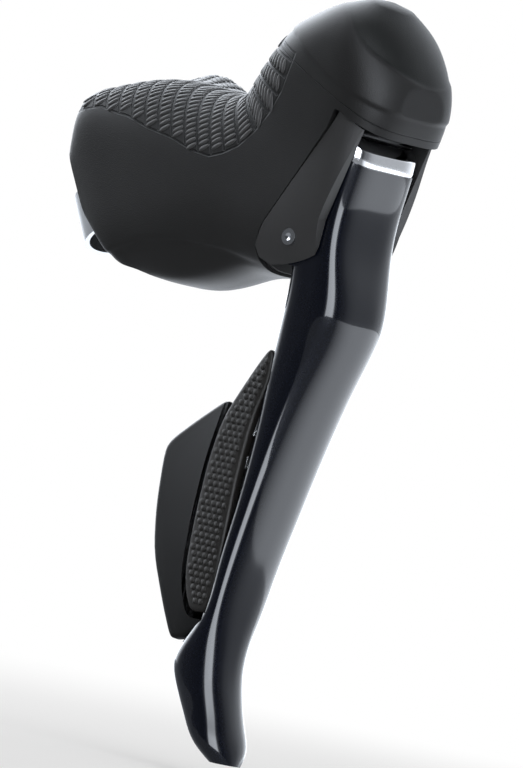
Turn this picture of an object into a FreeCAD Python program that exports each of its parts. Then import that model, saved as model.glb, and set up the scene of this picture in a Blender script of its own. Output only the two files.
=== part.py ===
import FreeCAD, Part
import math
import os
import re

import Sketcher
from FreeCAD import Placement, Rotation, Vector

# Brake shift lever for a drop handlebar, right-hand side, in millimetres.
# Origin: centre of the handlebar clamp. +X forward, +Z up, +Y towards the bicycle's centre.
# The handlebar leans back at the clamp, so the clamp's own pieces lie in a tilted frame.

SIZES = (
    ("bar_radius", 12.0, "handlebar radius at the clamp"),
    ("bar_lean", 31.0, "lean of the handlebar, degrees"),
    ("band_thickness", 1.2, "clamp band, sheet thickness"),
    ("band_width", 12.0, "clamp band, width along the bar"),
    ("band_reach", 17.0, "clamp band, bar centre to the front face of its cross plate"),
    ("band_drop", 4.0, "clamp band, distance below the bar centre along the bar"),
    ("band_slack", 0.2, "gap round the band in its groove"),
    ("cradle_top", 17.0, "top of the bracket's cradle, along the bar"),
    ("nut_width", 9.0, "clamp nut, width and height"),
    ("nut_depth", 4.5, "clamp nut, thickness"),
    ("bolt_radius", 2.5, "clamp bolt, thread radius"),
    ("bolt_outboard", 5.0, "clamp bolt, distance to the outer side"),
    ("bolt_head_radius", 4.2, "clamp bolt, head radius"),
    ("bolt_head_height", 4.5, "clamp bolt, head height"),
    ("bolt_key", 4.0, "clamp bolt, hexagon socket across flats"),
    ("bolt_seat", 28.0, "clamp bolt, bar centre to the seat under its head"),
    ("bolt_play", 0.3, "clamp bolt, radial gap in the bracket"),
    ("thread_gap", 0.05, "radial gap between a screw and its thread"),
    ("hood_wall", 2.2, "rubber hood, wall"),
    ("hood_gap", 0.1, "gap between the hood and the bracket"),
    ("hood_bar_gap", 0.3, "gap between the hood and the handlebar"),
    ("seam_gap", 0.35, "gap between the hood and the bracket's ears"),
    ("rim_x", 72.0, "hood rim over the lever, rear end"),
    ("rim_z", 29.3, "hood rim over the lever, height of its rear end"),
    ("rim_fall", 25.0, "slope of the rim, degrees"),
    ("rim_recess", 1.2, "bracket's roof above the rim"),
    ("pivot_x", 64.8, "lever pivot, forward of the bar centre"),
    ("pivot_z", -2.6, "lever pivot, height"),
    ("axle_radius", 2.0, "lever axle, radius"),
    ("axle_play", 0.05, "lever axle, radial running gap"),
    ("axle_sink", 0.7, "lever axle, depth of its end in the ear"),
    ("axle_dimple", 0.9, "lever axle, radius of the dimple in its end"),
    ("clip_radius", 3.8, "axle clip, outer radius"),
    ("clip_thickness", 0.8, "axle clip, thickness"),
    ("clip_groove", 0.5, "axle clip, depth of the groove in the axle"),
    ("clip_sink", 2.2, "axle clip, depth of its recess in the ear"),
    ("bush_wall", 0.8, "pivot bush, wall"),
    ("bush_flange", 1.2, "pivot bush, flange beyond the wall"),
    ("bush_flange_thickness", 0.4, "pivot bush, flange thickness"),
    ("hub_radius", 6.5, "lever's eye round the axle, radius"),
    ("bay_play", 1.2, "gap between the lever's eye and the bracket behind it"),
    ("blade_width", 24.4, "lever blade, width at the top"),
    ("blade_wall", 2.4, "lever blade, wall"),
    ("ear_gap", 0.45, "gap between the lever and each ear"),
    ("ear_wall", 3.85, "bracket's ear, thickness"),
    ("trim_gap", 0.05, "gap between the top trim and the blade"),
    ("hook_x", 2.2, "cable hook, forward of the pivot"),
    ("hook_z", 12.4, "cable hook, above the pivot"),
    ("hook_radius", 4.0, "cable hook, barrel radius"),
    ("hook_play", 0.05, "cable hook, radial running gap"),
    ("hook_side_gap", 0.3, "cable hook, gap at each end of its barrel"),
    ("trunnion_radius", 2.0, "cable hook, trunnion radius"),
    ("nipple_radius", 2.1, "cable hook, radius of the seat for the cable end"),
    ("wire_radius", 0.9, "brake wire passage, radius"),
    ("web_low", 18.2, "web across the lever, underside above the pivot"),
    ("web_high", 24.2, "web across the lever, top above the pivot"),
    ("web_rear", -1.8, "web across the lever, rear face from the pivot"),
    ("web_front", 4.2, "web across the lever, front face from the pivot"),
    ("reach_radius", 2.0, "reach screw, radius"),
    ("reach_length", 9.5, "reach screw, length"),
    ("reach_key", 2.0, "reach screw, hexagon socket across flats"),
    ("reach_tip", -3.3, "reach screw, tip from the pivot"),
    ("stop_thickness", 3.0, "lever stop pad, thickness"),
    ("stop_width", 8.0, "lever stop pad, width"),
    ("stop_gap", 0.3, "gap between the stop pad and the reach screw"),
    ("spring_wire", 1.2, "return spring, wire diameter"),
    ("spring_radius", 3.6, "return spring, mean radius of its coil"),
    ("spring_turns", 4.0, "return spring, turns"),
    ("spring_pitch", 1.4, "return spring, pitch"),
    ("spring_side", -7.0, "return spring, first turn from the middle"),
    ("casing_radius", 2.6, "brake casing seat, bore radius"),
    ("casing_wall", 0.9, "brake casing seat, wall"),
    ("casing_depth", 9.0, "brake casing seat, depth of the bore"),
    ("casing_floor", 1.6, "brake casing seat, floor"),
    ("casing_x", -0.6, "brake casing seat, mouth from the bar centre"),
    ("casing_z", 24.4, "brake casing seat, height of its mouth"),
    ("casing_side", 9.2, "brake casing seat, distance to the inner side"),
    ("casing_rise", 50.0, "brake casing seat, rise of its axis, degrees"),
    ("casing_inset", 5.5, "brake casing seat, depth of its mouth under the hood's edge"),
    ("box_x", 25.5, "junction box, rear face"),
    ("box_length", 18.0, "junction box, length"),
    ("box_z", -9.5, "junction box, underside"),
    ("box_height", 8.0, "junction box, height"),
    ("box_y", -3.0, "junction box, outer face"),
    ("box_depth", 12.4, "junction box, depth"),
    ("box_gap", 0.15, "gap round the junction box"),
    ("box_tab", 3.6, "junction box, screw tab"),
    ("box_tab_thickness", 2.0, "junction box, thickness of its tabs"),
    ("port_radius", 2.3, "signal port, radius"),
    ("port_pitch", 8.0, "distance between the two signal ports"),
    ("port_depth", 5.0, "signal port, depth"),
    ("plug_gap", 0.05, "gap between a plug and its port"),
    ("plug_cap", 2.9, "port plug, cap radius"),
    ("plug_cap_thickness", 0.8, "port plug, cap thickness"),
    ("small_screw", 0.9, "small screw, thread radius"),
    ("small_head", 1.6, "small screw, head radius"),
    ("small_head_height", 1.1, "small screw, head height"),
    ("small_length", 5.5, "small screw, length under the head"),
    ("top_x", 80.9, "top switch, axis at the hood's surface"),
    ("top_z", 43.9, "top switch, height of its axis at the surface"),
    ("top_tilt", 29.0, "top switch, rise of its axis, degrees"),
    ("top_radius", 4.2, "top button, radius"),
    ("top_thickness", 1.8, "top button, thickness"),
    ("top_cover", 0.9, "gap between the top button and the hood"),
    ("top_travel", 0.6, "top button, travel"),
    ("top_housing", 6.0, "top switch housing, radius"),
    ("top_housing_length", 7.0, "top switch housing, length"),
    ("switch_tilt", 5.4, "lean of the shift buttons, degrees"),
    ("switch_drop", -42.0, "shift buttons' frame, below the pivot"),
    ("switch_side", -13.0, "shift buttons' outer face at that height"),
    ("front_button_thickness", 2.4, "front shift button, plate"),
    ("rear_button_inset", 0.9, "rear shift button, set back from the front one"),
    ("rear_button_thickness", 2.4, "rear shift button, plate"),
    ("arm_gap", 0.8, "gap between the front button and the rear one's arms"),
    ("pin_radius", 0.8, "button pin, radius"),
    ("pin_x", -2.6, "button pin, from the pivot"),
    ("pin_play", 0.05, "button pin, radial running gap"),
    ("pin_eye", 1.6, "button eyes round the pin, radius"),
    ("eye_length", 5.0, "button eye, length"),
    ("eye_gap", 0.3, "gap between a button eye and the housing"),
    ("base_gap", 1.0, "gap between the rear button's arms and the switch housing"),
    ("base_x", -8.4, "switch housing, rear face from the pivot"),
    ("base_front", -1.4, "switch housing, front face from the pivot"),
    ("base_depth", 4.4, "switch housing, depth"),
    ("base_low", -49.0, "switch housing, lower end in the buttons' frame"),
    ("base_high", 8.0, "switch housing, upper end in the buttons' frame"),
    ("base_wall", 1.0, "switch housing, wall"),
    ("base_ear", 3.0, "switch housing, length of its pin ears"),
    ("board_thickness", 1.0, "switch board, thickness"),
    ("dome_radius", 1.8, "dome switch, radius"),
    ("dome_height", 0.5, "dome switch, height"),
    ("seal_thickness", 0.5, "switch seal, thickness"),
    ("button_gap", 0.4, "gap between the shift buttons and the blade"),
    ("fit_gap", 0.05, "gap between pieces stacked in the switch housing"),
    ("plunger_gap", 0.35, "gap between a button's stem and the dome under the seal"),
    ("dome_top", 1.08, "dome switch, radius of its top and of the stem that presses it"),
    ("riser_back", 3.0, "rear button's risers, rear face behind the front button"),
    ("riser_length", 2.5, "rear button's risers, length"),
    ("riser_root", 0.5, "rear button's risers, root in the plate"),
    ("riser_reach", 1.5, "rear button's risers, reach past the arms' outer face"),
    ("room_reach", 5.0, "room for the shift buttons, reach past their outer faces"),
    ("base_screw_sink", 1.5, "switch housing, depth of its screws' seats"),
    ("base_screw_edge", 4.0, "switch housing, screws from its ends"),
    ("screw_room", 8.0, "switch housing, solid length round each screw"),
    ("lug_gap", 0.3, "gap between the switch housing's lugs and the buttons' arms"),
    ("blade_top", 29.4, "lever blade, level top above the pivot"),
    ("channel_rise", 3.0, "hollow in the lever, rise of its floor to the front"),
    ("web_root", 0.5, "web across the lever, depth in each wall"),
    ("trim_screw_x", 9.9, "trim screw, forward of the pivot"),
    ("trim_screw_z", 24.2, "trim screw, seat above the pivot"),
    ("trim_screw_room", 0.3, "trim screw, room under its tip"),
    ("trunnion_sink", 0.3, "cable hook, depth of its ends under the lever's sides"),
    ("clip_room", 0.3, "room round the axle clip"),
    ("bush_step", 0.15, "gap between a bush and the ear"),
    ("stop_fit", 0.1, "gap round the stop pad in the bracket"),
    ("top_play", 0.1, "top button, radial play and room under its stroke"),
    ("passage_overlap", 1.0, "brake wire passage, overlap with the casing seat"),
    ("grip_row", 4.2, "hood grip, distance between its cross grooves"),
    ("grip_level", 0.875, "hood grip, share of a section's height where its rows are paced"),
    ("grip_groove_width", 0.6, "hood grip, width of a cross groove"),
    ("grip_groove_depth", 0.4, "hood grip, depth of a cross groove"),
    ("hump_x", 10.0, "hump on the hood's inner side, middle in length"),
    ("hump_side", 8.5, "hump on the hood's inner side, middle in width"),
    ("hump_z", 20.0, "hump on the hood's inner side, middle in height"),
    ("hump_length", 12.0, "hump on the hood's inner side, half-length"),
    ("hump_width", 6.2, "hump on the hood's inner side, half-width"),
    ("hump_height", 11.7, "hump on the hood's inner side, half-height"),
)

# Rubber hood, outer form: each station is a line from its low or front end to its top or rear
# end, its half-width beyond the ears' outer faces, and the squareness of its oval.
HOOD_STATIONS = (
    ((3.0, -9.5), (-9.2, 9.5), -2.1, 3.2),
    ((9.0, -15.0), (-9.2, 17.0), -0.7, 3.0),
    ((17.0, -18.0), (-3.8, 24.6), 0.4, 2.8),
    ((28.0, -18.8), (7.0, 28.6), 1.0, 2.7),
    ((39.0, -17.3), (19.0, 29.6), 0.7, 2.7),
    ((48.0, -14.0), (29.0, 28.7), 0.3, 2.9),
    ((60.0, -12.5), (36.0, 29.2), 0.0, 3.6),
    ((77.5, -3.0), (38.5, 31.8), 0.0, 4.2),
    ((81.0, 19.0), (40.5, 36.4), 0.4, 3.4),
    ((83.2, 29.0), (43.3, 42.0), 1.4, 2.7),
    ((83.8, 37.0), (46.8, 47.8), 2.0, 2.3),
    ((81.2, 44.3), (53.0, 52.6), 0.7, 2.1),
    ((76.6, 51.0), (59.6, 56.0), -4.0, 2.0),
    ((72.6, 55.1), (64.6, 57.4), -10.0, 2.0),
)

# Ribbed grip of the hood in side view: its lower edge from the rear, then round the knob's foot.
GRIP = (
    (-14.0, 16.0), (-7.1, 17.6), (-1.2, 19.3), (3.1, 18.6), (8.6, 18.2), (15.5, 16.4), (23.8, 15.1),
    (30.7, 13.1), (36.3, 12.5), (40.0, 13.8), (44.2, 16.2), (47.9, 20.0), (51.3, 24.7),
    (54.4, 30.8), (56.8, 39.2), (56.0, 40.5), (46.0, 44.5), (30.0, 50.9), (-14.0, 50.9),
)

# Bracket's ear in side view, from the pivot: rear seam from the top, round the axle, front edge.
EAR_SEAM = ((8.0, 31.5), (5.8, 27.2), (-8.6, 1.8), (-10.3, -3.4))
EAR_FOOT = ((-9.2, -6.0), (-4.5, -8.2), (1.5, -8.4), (5.6, -6.0))
EAR_FRONT = ((7.3, -1.0), (7.7, 5.5), (13.6, 28.2))

# Lever blade, level sections: height, front and rear from the pivot, middle, width taken off,
# squareness.
BLADE_STATIONS = (
    (32.0, 13.6, -2.4, 0.0, 0.0, 5.0),
    (21.0, 13.0, -2.4, 0.0, 0.0, 5.0),
    (9.0, 11.4, -2.4, 0.0, 0.0, 5.0),
    (-1.0, 11.4, -2.2, 0.0, 0.0, 5.0),
    (-10.0, 13.6, -1.2, 0.0, 0.0, 4.6),
    (-17.0, 14.0, -0.8, 0.0, 0.1, 4.4),
    (-24.0, 12.0, -1.0, 0.0, 0.3, 4.2),
    (-32.0, 8.8, -1.2, -0.6, 0.8, 4.0),
    (-41.0, 6.0, -1.0, -1.6, 1.6, 3.8),
    (-52.0, 4.9, -1.0, -3.0, 2.8, 3.6),
    (-66.0, 4.6, -0.8, -5.2, 4.2, 3.5),
    (-80.0, 4.6, -0.6, -7.8, 5.6, 3.4),
    (-92.0, 4.7, -0.6, -10.0, 6.8, 3.2),
    (-98.0, 4.9, -2.6, -11.0, 7.4, 3.0),
    (-103.0, 5.4, -4.6, -11.6, 7.8, 2.8),
    (-109.0, 7.0, -3.0, -12.1, 8.0, 2.6),
    (-116.0, 9.8, 1.0, -12.3, 8.2, 2.4),
    (-122.0, 13.0, 6.0, -12.4, 10.0, 2.2),
    (-125.0, 14.2, 9.4, -12.4, 15.0, 2.0),
)
# Rear wall of the room between the ears, in length from the hub's play and in height from the
# pivot, and its last corner from the rear end of the roof.
BAY_REAR = ((-2.5, -30.0), (-1.2, -6.0), (0.0, 0.0), (2.5, 25.0), (3.5, 31.0))
BAY_CORNER = (-4.0, 0.6)
CHANNEL_TOP = ((-20.0, 40.0), (6.9, 40.0), (6.9, 18.2), (8.6, 16.2))
TRIM_FOOT = ((7.4, 36.0), (7.7, 27.6), (9.2, 23.8), (11.0, 21.9), (13.0, 20.9), (22.0, 19.9))
TRIM_CROWN = ((22.0, 23.6), (13.2, 25.5), (7.0, 29.0))
TRIM_AHEAD = ((22.0, 40.0),)

# Shift buttons in side view: from the pivot, and in height from the buttons' frame.
FRONT_BUTTON = (
    (-2.2, 15.4), (-0.6, 14.6), (0.3, 8.0), (-1.6, -1.6), (-1.5, -16.0), (-0.1, -31.0),
    (1.1, -45.0), (1.0, -49.0), (-4.4, -49.6), (-7.0, -46.0), (-9.4, -40.0), (-10.9, -27.0),
    (-11.4, -12.5), (-10.4, -3.0), (-8.4, 2.4), (-4.6, 11.0),
)
REAR_BUTTON = (
    (-10.6, 2.2), (-18.0, -4.2), (-24.2, -10.4), (-25.4, -13.4), (-23.2, -26.8),
    (-20.0, -37.8), (-13.2, -49.4), (-9.4, -55.4), (-8.0, -56.6), (-4.6, -55.9), (0.6, -51.0),
    (0.5, -49.7), (-4.7, -50.2), (-7.5, -46.2), (-9.9, -40.0), (-11.4, -27.0), (-11.9, -12.5),
    (-10.9, -2.9),
)
FRONT_EYES = (-8.0, -38.0)
REAR_EYES = (-16.0, -30.0)
FRONT_DOME = -2.0
REAR_DOME = -30.0

DOC = FreeCAD.newDocument("BrakeShiftLever")
PLANES = {"XY": "XY_Plane", "XZ": "XZ_Plane", "YZ": "YZ_Plane"}
FAR = 200.0
PAST = 30.0  # how far a cutting outline runs past the axle or the hood's rim


def make_sheet():
    """Spreadsheet with one named cell for each driving size."""
    sheet = DOC.addObject("Spreadsheet::Sheet", "Sizes")
    for row, (alias, value, note) in enumerate(SIZES, 1):
        sheet.set(f"A{row}", note)
        sheet.set(f"B{row}", str(value))
        sheet.setAlias(f"B{row}", alias)
    DOC.recompute()
    return sheet


SHEET = make_sheet()


def size(alias):
    return float(SHEET.get(alias))


def bound(expression):
    """The expression with each alias written as a cell of the sheet."""
    aliases = {entry[0] for entry in SIZES}
    return re.sub(r"[a-z][a-z_]*", lambda word: ("Sizes." if word[0] in aliases else "") + word[0],
                  expression)


def number(expression):
    """What an expression of aliases comes to."""
    return float(SHEET.evalExpression(bound(expression)))


# ---------------------------------------------------------------- frames

def turned(axis, degrees, x=0.0, y=0.0, z=0.0):
    return Placement(Vector(x, y, z), Rotation(axis, degrees))


X_AXIS = Vector(1, 0, 0)
Y_AXIS = Vector(0, 1, 0)
Z_AXIS = Vector(0, 0, 1)
CLAMP = turned(Y_AXIS, -size("bar_lean"))
PIVOT = Vector(size("pivot_x"), 0, size("pivot_z"))
BUTTONS = turned(
    X_AXIS, -size("switch_tilt"),
    size("pivot_x"), size("switch_side"), size("pivot_z") + size("switch_drop"),
)
CASING = Placement(
    Vector(size("casing_x"), size("casing_side"), size("casing_z")),
    Rotation(Y_AXIS, size("casing_rise") - 90),
)
TOP_SWITCH = Placement(
    Vector(size("top_x"), 0, size("top_z")), Rotation(Y_AXIS, 90 - size("top_tilt")),
)
HALF_BLADE = size("blade_width") / 2
HALF_BAY = HALF_BLADE + size("ear_gap")
HALF_EARS = HALF_BAY + size("ear_wall")


def from_pivot(points):
    return [(PIVOT.x + x, PIVOT.z + z) for x, z in points]


# ---------------------------------------------------------------- solids made by Part

def oval(low, high, middle, half_width, squareness, points=28):
    """Closed curve round the line low-high in the XZ plane, widened along Y."""
    low = Vector(low[0], middle, low[1])
    high = Vector(high[0], middle, high[1])
    centre = (low + high) * 0.5
    reach = (high - low) * 0.5
    power = 2.0 / squareness
    ring = []
    for step in range(points):
        angle = 2 * math.pi * step / points
        along = math.copysign(abs(math.cos(angle)) ** power, math.cos(angle))
        aside = math.copysign(abs(math.sin(angle)) ** power, math.sin(angle))
        ring.append(centre + reach * along + Y_AXIS * (half_width * aside))
    curve = Part.BSplineCurve()
    curve.interpolate(Points=ring, PeriodicFlag=True)
    return Part.Wire(curve.toShape())


def loft(wires):
    solid = Part.makeLoft(wires, True, False)
    if solid.Volume < 0:
        solid.reverse()
    return solid


def slab(outline, low_y, high_y):
    """Prism of an XZ outline between two heights along Y."""
    corners = [Vector(x, low_y, z) for x, z in outline]
    face = Part.Face(Part.makePolygon(corners + corners[:1]))
    return face.extrude(Vector(0, high_y - low_y, 0))


def drum(radius, low, high, place=None):
    """Cylinder along the local Z axis of a placement."""
    solid = Part.makeCylinder(radius, high - low, Vector(0, 0, low), Z_AXIS)
    solid.Placement = place or Placement()
    return solid


def cross_drum(radius, low_y, high_y, x, z):
    """Cylinder along Y."""
    return Part.makeCylinder(radius, high_y - low_y, Vector(x, low_y, z), Y_AXIS)


def block(low, high, place=None):
    """Box between two corners in a placement's frame."""
    extent = Vector(*high) - Vector(*low)
    solid = Part.makeBox(extent.x, extent.y, extent.z, Vector(*low))
    solid.Placement = place or Placement()
    return solid


def feature(label, shape):
    """Free-form sub-part."""
    thing = DOC.addObject("Part::Feature", label)
    thing.Shape = shape
    thing.Placement = shape.Placement
    return thing


# ---------------------------------------------------------------- features made by PartDesign

def new_body(label, place=None):
    body = DOC.addObject("PartDesign::Body", label)
    body.Placement = place or Placement()
    return body


def sketch_on(body, plane):
    sketch = body.newObject("Sketcher::SketchObject", body.Name + "Sketch")
    for datum in body.Origin.OriginFeatures:
        if datum.Role == PLANES[plane]:
            sketch.AttachmentSupport = (datum, "")
    sketch.MapMode = "FlatFace"
    return sketch


def outline(body, plane, corners):
    """Closed polygon whose corners are held at expressions of the sheet."""
    sketch = sketch_on(body, plane)
    spots = [Vector(number(x), number(y), 0) for x, y in corners]
    for index, spot in enumerate(spots):
        sketch.addGeometry(Part.LineSegment(spot, spots[(index + 1) % len(spots)]))
    for index, (across, up) in enumerate(corners):
        sketch.addConstraint(
            Sketcher.Constraint("Coincident", index - 1 if index else len(spots) - 1, 2, index, 1))
        for kind, spot, rule in (("DistanceX", spots[index].x, across),
                                 ("DistanceY", spots[index].y, up)):
            held = sketch.addConstraint(Sketcher.Constraint(kind, -1, 1, index, 1, spot))
            sketch.setExpression(f"Constraints[{held}]", bound(rule))
    return sketch


def rectangle(body, plane, low, high):
    return outline(body, plane, (low, (high[0], low[1]), high, (low[0], high[1])))


def circles(body, plane, *rings):
    """Circles of given centre and radius, each held at expressions of the sheet."""
    sketch = sketch_on(body, plane)
    for index, (across, up, radius) in enumerate(rings):
        middle = Vector(number(across), number(up), 0)
        sketch.addGeometry(Part.Circle(middle, Z_AXIS, number(radius)))
        for kind, spot, rule in (("DistanceX", middle.x, across), ("DistanceY", middle.y, up)):
            held = sketch.addConstraint(Sketcher.Constraint(kind, -1, 1, index, 3, spot))
            sketch.setExpression(f"Constraints[{held}]", bound(rule))
        held = sketch.addConstraint(Sketcher.Constraint("Radius", index, number(radius)))
        sketch.setExpression(f"Constraints[{held}]", bound(radius))
    return sketch


def hexagon(body, plane, across_flats):
    """Hexagon round the origin."""
    corner = f"{across_flats} * 0.57735"
    return outline(body, plane, (
        (corner, "0"), (f"{corner} / 2", f"{across_flats} / 2"),
        (f"0 - {corner} / 2", f"{across_flats} / 2"), (f"0 - {corner}", "0"),
        (f"0 - {corner} / 2", f"0 - {across_flats} / 2"), (f"{corner} / 2", f"0 - {across_flats} / 2"),
    ))


def pad(body, sketch, length, offset="0", reverse=False):
    """Pad of a sketch that is first moved along its own normal."""
    sketch.setExpression("AttachmentOffset.Base.z", bound(offset))
    solid = body.newObject("PartDesign::Pad", body.Name + "Pad")
    solid.Profile = sketch
    solid.setExpression("Length", bound(length))
    solid.Reversed = reverse
    body.Tip = solid
    return solid


def pocket(body, sketch, length, offset="0", reverse=False):
    """Pocket that has to take material away."""
    DOC.recompute()
    before = body.Shape.Volume
    sketch.setExpression("AttachmentOffset.Base.z", bound(offset))
    cut = body.newObject("PartDesign::Pocket", body.Name + "Pocket")
    cut.Profile = sketch
    cut.setExpression("Length", bound(length))
    cut.Reversed = reverse
    body.Tip = cut
    DOC.recompute()
    if body.Shape.Volume > before - 1e-6:
        raise ValueError(f"{cut.Name} cuts nothing")
    return cut


def turned_piece(label, profile, place):
    """Body of revolution: profile corners are (radius, height) round the local Z axis."""
    body = new_body(label, place)
    sketch = outline(body, "XZ", profile)
    solid = body.newObject("PartDesign::Revolution", label + "Turn")
    solid.Profile = sketch
    solid.ReferenceAxis = (sketch, ["V_Axis"])
    solid.Angle = 360
    body.Tip = solid
    return body


def compound(label, things):
    """One node that holds several separate solids."""
    group = DOC.addObject("Part::Compound", label)
    group.Links = things
    return group


# ---------------------------------------------------------------- hood and bracket

def hood_form(inset):
    """Solid inside the hood's outer form, drawn in by a wall."""
    wires = []
    for low, high, extra, squareness in HOOD_STATIONS:
        start = Vector(low[0], 0, low[1])
        end = Vector(high[0], 0, high[1])
        pull = (end - start).normalize() * inset
        start = start + pull
        end = end - pull
        half_width = HALF_EARS + extra - inset
        if (end - start).dot(pull) < 0 or half_width < inset:
            continue
        wires.append(oval((start.x, start.z), (end.x, end.z), 0.0, half_width, squareness))
    return loft(wires)


def rim_line(lift=0.0):
    """Two far points on the hood's rim over the lever, from its rear end forward."""
    slope = math.tan(math.radians(size("rim_fall")))
    rear = (size("rim_x"), size("rim_z") + lift)
    return [rear, (rear[0] + PAST, rear[1] - PAST * slope)]


def ear_profile(gap):
    """Side view of an ear, drawn back from the hood's seam by a gap."""
    seam = [(x + gap, z) for x, z in EAR_SEAM]
    return from_pivot(tuple(seam) + EAR_FOOT + EAR_FRONT)


def ear_space():
    """Everything in front of the hood's seam and below its rim."""
    seam = from_pivot(EAR_SEAM[1:])
    low = PIVOT.z - PAST
    front = size("rim_x") + PAST
    below = [(seam[-1][0], low), (front, low)]
    return slab(seam + below + rim_line()[::-1], -FAR, FAR)


def front_space():
    """Everything in front of the ears' front edge and below the bracket's roof."""
    edge = from_pivot(EAR_FOOT[:1] + EAR_FOOT + EAR_FRONT)
    foot = edge[0]
    low = PIVOT.z - PAST
    front = size("rim_x") + PAST
    roof = rim_line(size("rim_recess"))
    outline_points = [(foot[0], low), foot] + edge[2:] + [roof[0], roof[1], (front, low)]
    return slab(outline_points, -FAR, FAR)


def bay():
    """Room for the lever between the ears."""
    play = size("hub_radius") + size("bay_play")
    rear = from_pivot([(x - play, z) for x, z in BAY_REAR])
    roof = rim_line(size("rim_recess"))
    corner = (roof[0][0] + BAY_CORNER[0], roof[0][1] + BAY_CORNER[1])
    return slab(rear + [corner] + roof + [(roof[1][0], rear[0][1])], -HALF_BAY, HALF_BAY)


def bar(radius):
    return drum(radius, -FAR, FAR, CLAMP)


def band_plug(grow, width):
    """Filled outline of the clamp band, grown by a distance."""
    outer = size("bar_radius") + size("band_thickness") + grow
    reach = size("band_reach") + grow
    low = -size("band_drop") - width / 2
    arc = Part.Arc(Vector(0, outer, low), Vector(-outer, 0, low), Vector(0, -outer, low)).toShape()
    corners = [Vector(0, -outer, low), Vector(reach, -outer, low), Vector(reach, outer, low),
               Vector(0, outer, low)]
    face = Part.Face(Part.Wire([arc] + Part.makePolygon(corners).Edges))
    return face.extrude(Vector(0, 0, width))


def band_solid(outer_grow, inner_grow, width):
    """Closed strap round the bar, with its thickness grown outward and inward."""
    strap = band_plug(outer_grow, width).cut(band_plug(-size("band_thickness") - inner_grow, width))
    strap.Placement = CLAMP
    return strap


def bolt_place(along):
    """Frame on the clamp bolt's axis with Z forward, at a distance from the bar's centre."""
    spot = Vector(along, -size("bolt_outboard"), -size("band_drop"))
    return CLAMP.multiply(Placement(spot, Rotation(Y_AXIS, 90)))


def make_bracket(outer, core):
    blank = core.cut(front_space())
    ears = outer.common(slab(ear_profile(size("seam_gap")), -FAR, FAR))
    cradle_top = block((-FAR, -FAR, size("cradle_top")), (size("bar_radius"), FAR, FAR), CLAMP)
    tools = [bay(), bar(size("bar_radius")), cradle_top, stop_block(size("stop_fit"))]
    tools += clamp_cuts() + axle_cuts() + electric_cuts() + cable_cuts()
    return feature("bracket_body", blank.fuse(ears).cut(tools).Solids[0])


def clamp_cuts():
    slack = size("band_slack")
    groove = band_solid(FAR / 10, slack, size("band_width") + 2 * slack)
    ahead = size("band_reach") + size("nut_depth") + slack
    groove = groove.cut(block((ahead, -FAR, -FAR), (FAR, FAR, FAR), CLAMP))
    play = size("bolt_play")
    shank = drum(size("bolt_radius") + play, 0, size("bolt_seat"), bolt_place(size("band_reach")))
    access = drum(size("bolt_head_radius") + play, 0, FAR, bolt_place(size("bolt_seat")))
    return [groove, shank, access]


def axle_cuts():
    play = size("axle_radius") + size("axle_play")
    return [
        cross_drum(play, -FAR, FAR, PIVOT.x, PIVOT.z),
        cross_drum(size("clip_radius") + size("clip_room"), HALF_EARS - size("clip_sink"), FAR, PIVOT.x, PIVOT.z),
    ]


def electric_cuts():
    gap = size("box_gap")
    low = (size("box_x") - gap, size("box_y") - gap, size("box_z") - gap)
    high = (size("box_x") + size("box_length") + gap, FAR, size("box_z") + size("box_height") + gap)
    tab_y = size("box_y") + size("box_depth") - size("box_tab_thickness")
    tab = size("box_tab") + gap
    tab_low = (size("box_x") - tab, tab_y, low[2])
    tab_high = (size("box_x") + size("box_length") + tab, FAR, high[2])
    cuts = [block(low, high), block(tab_low, tab_high)]
    for x in box_screw_places():
        cuts.append(cross_drum(size("small_screw") + size("thread_gap"),
                               tab_y - size("small_length"), FAR, x, box_middle_z()))
    depth = size("hood_wall") + size("top_cover") + size("top_thickness") + size("top_housing_length")
    cuts.append(drum(size("top_housing") + gap, -depth - gap, FAR, TOP_SWITCH))
    return cuts


def box_middle_z():
    return size("box_z") + size("box_height") / 2


def box_screw_places():
    middle = size("box_tab") / 2
    return (size("box_x") - middle, size("box_x") + size("box_length") + middle)


def casing_base():
    """Depth of the casing seat's lower end below its axis' mouth at the hood's edge."""
    return -size("casing_inset") - size("casing_depth") - size("casing_floor")


def cable_cuts():
    outer = size("casing_radius") + size("casing_wall") + size("fit_gap")
    seat = drum(outer, casing_base(), FAR, CASING)
    start = CASING.multVec(Vector(0, 0, casing_base() + size("passage_overlap")))
    end = PIVOT + Vector(size("hook_x"), 0, size("hook_z"))
    passage = Part.makeCylinder(2 * size("wire_radius"), (end - start).Length, start, end - start)
    return [seat, passage]


def grip_lines():
    """Side-view lines of the grip's cross grooves, paced a little below the hood's crest."""
    share = size("grip_level")
    lows = [Vector(low[0], 0, low[1]) for low, _, _, _ in HOOD_STATIONS]
    highs = [Vector(high[0], 0, high[1]) for _, high, _, _ in HOOD_STATIONS]
    spots = [low + (high - low) * share for low, high in zip(lows, highs)]
    row = size("grip_row")
    ahead = row
    for index, step in enumerate([(b - a).Length for a, b in zip(spots, spots[1:])]):
        while ahead <= step:
            part = ahead / step
            low = lows[index] + (lows[index + 1] - lows[index]) * part
            high = highs[index] + (highs[index + 1] - highs[index]) * part
            yield low, high
            ahead += row
        ahead -= step


def grip_grooves():
    """Cross grooves of the hood's grip, open outward."""
    bands = []
    for low, high in grip_lines():
        run = high - low
        aside = run.cross(Y_AXIS).normalize() * (size("grip_groove_width") / 2)
        start = low + run * 0.35
        end = high + run * 0.15
        corners = (start - aside, end - aside, end + aside, start + aside)
        bands.append(slab([(corner.x, corner.z) for corner in corners], -FAR, FAR))
    grip = Part.makeCompound(bands).common(slab(list(GRIP), -FAR, FAR))
    return grip.cut(hood_form(size("grip_groove_depth")))


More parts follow.
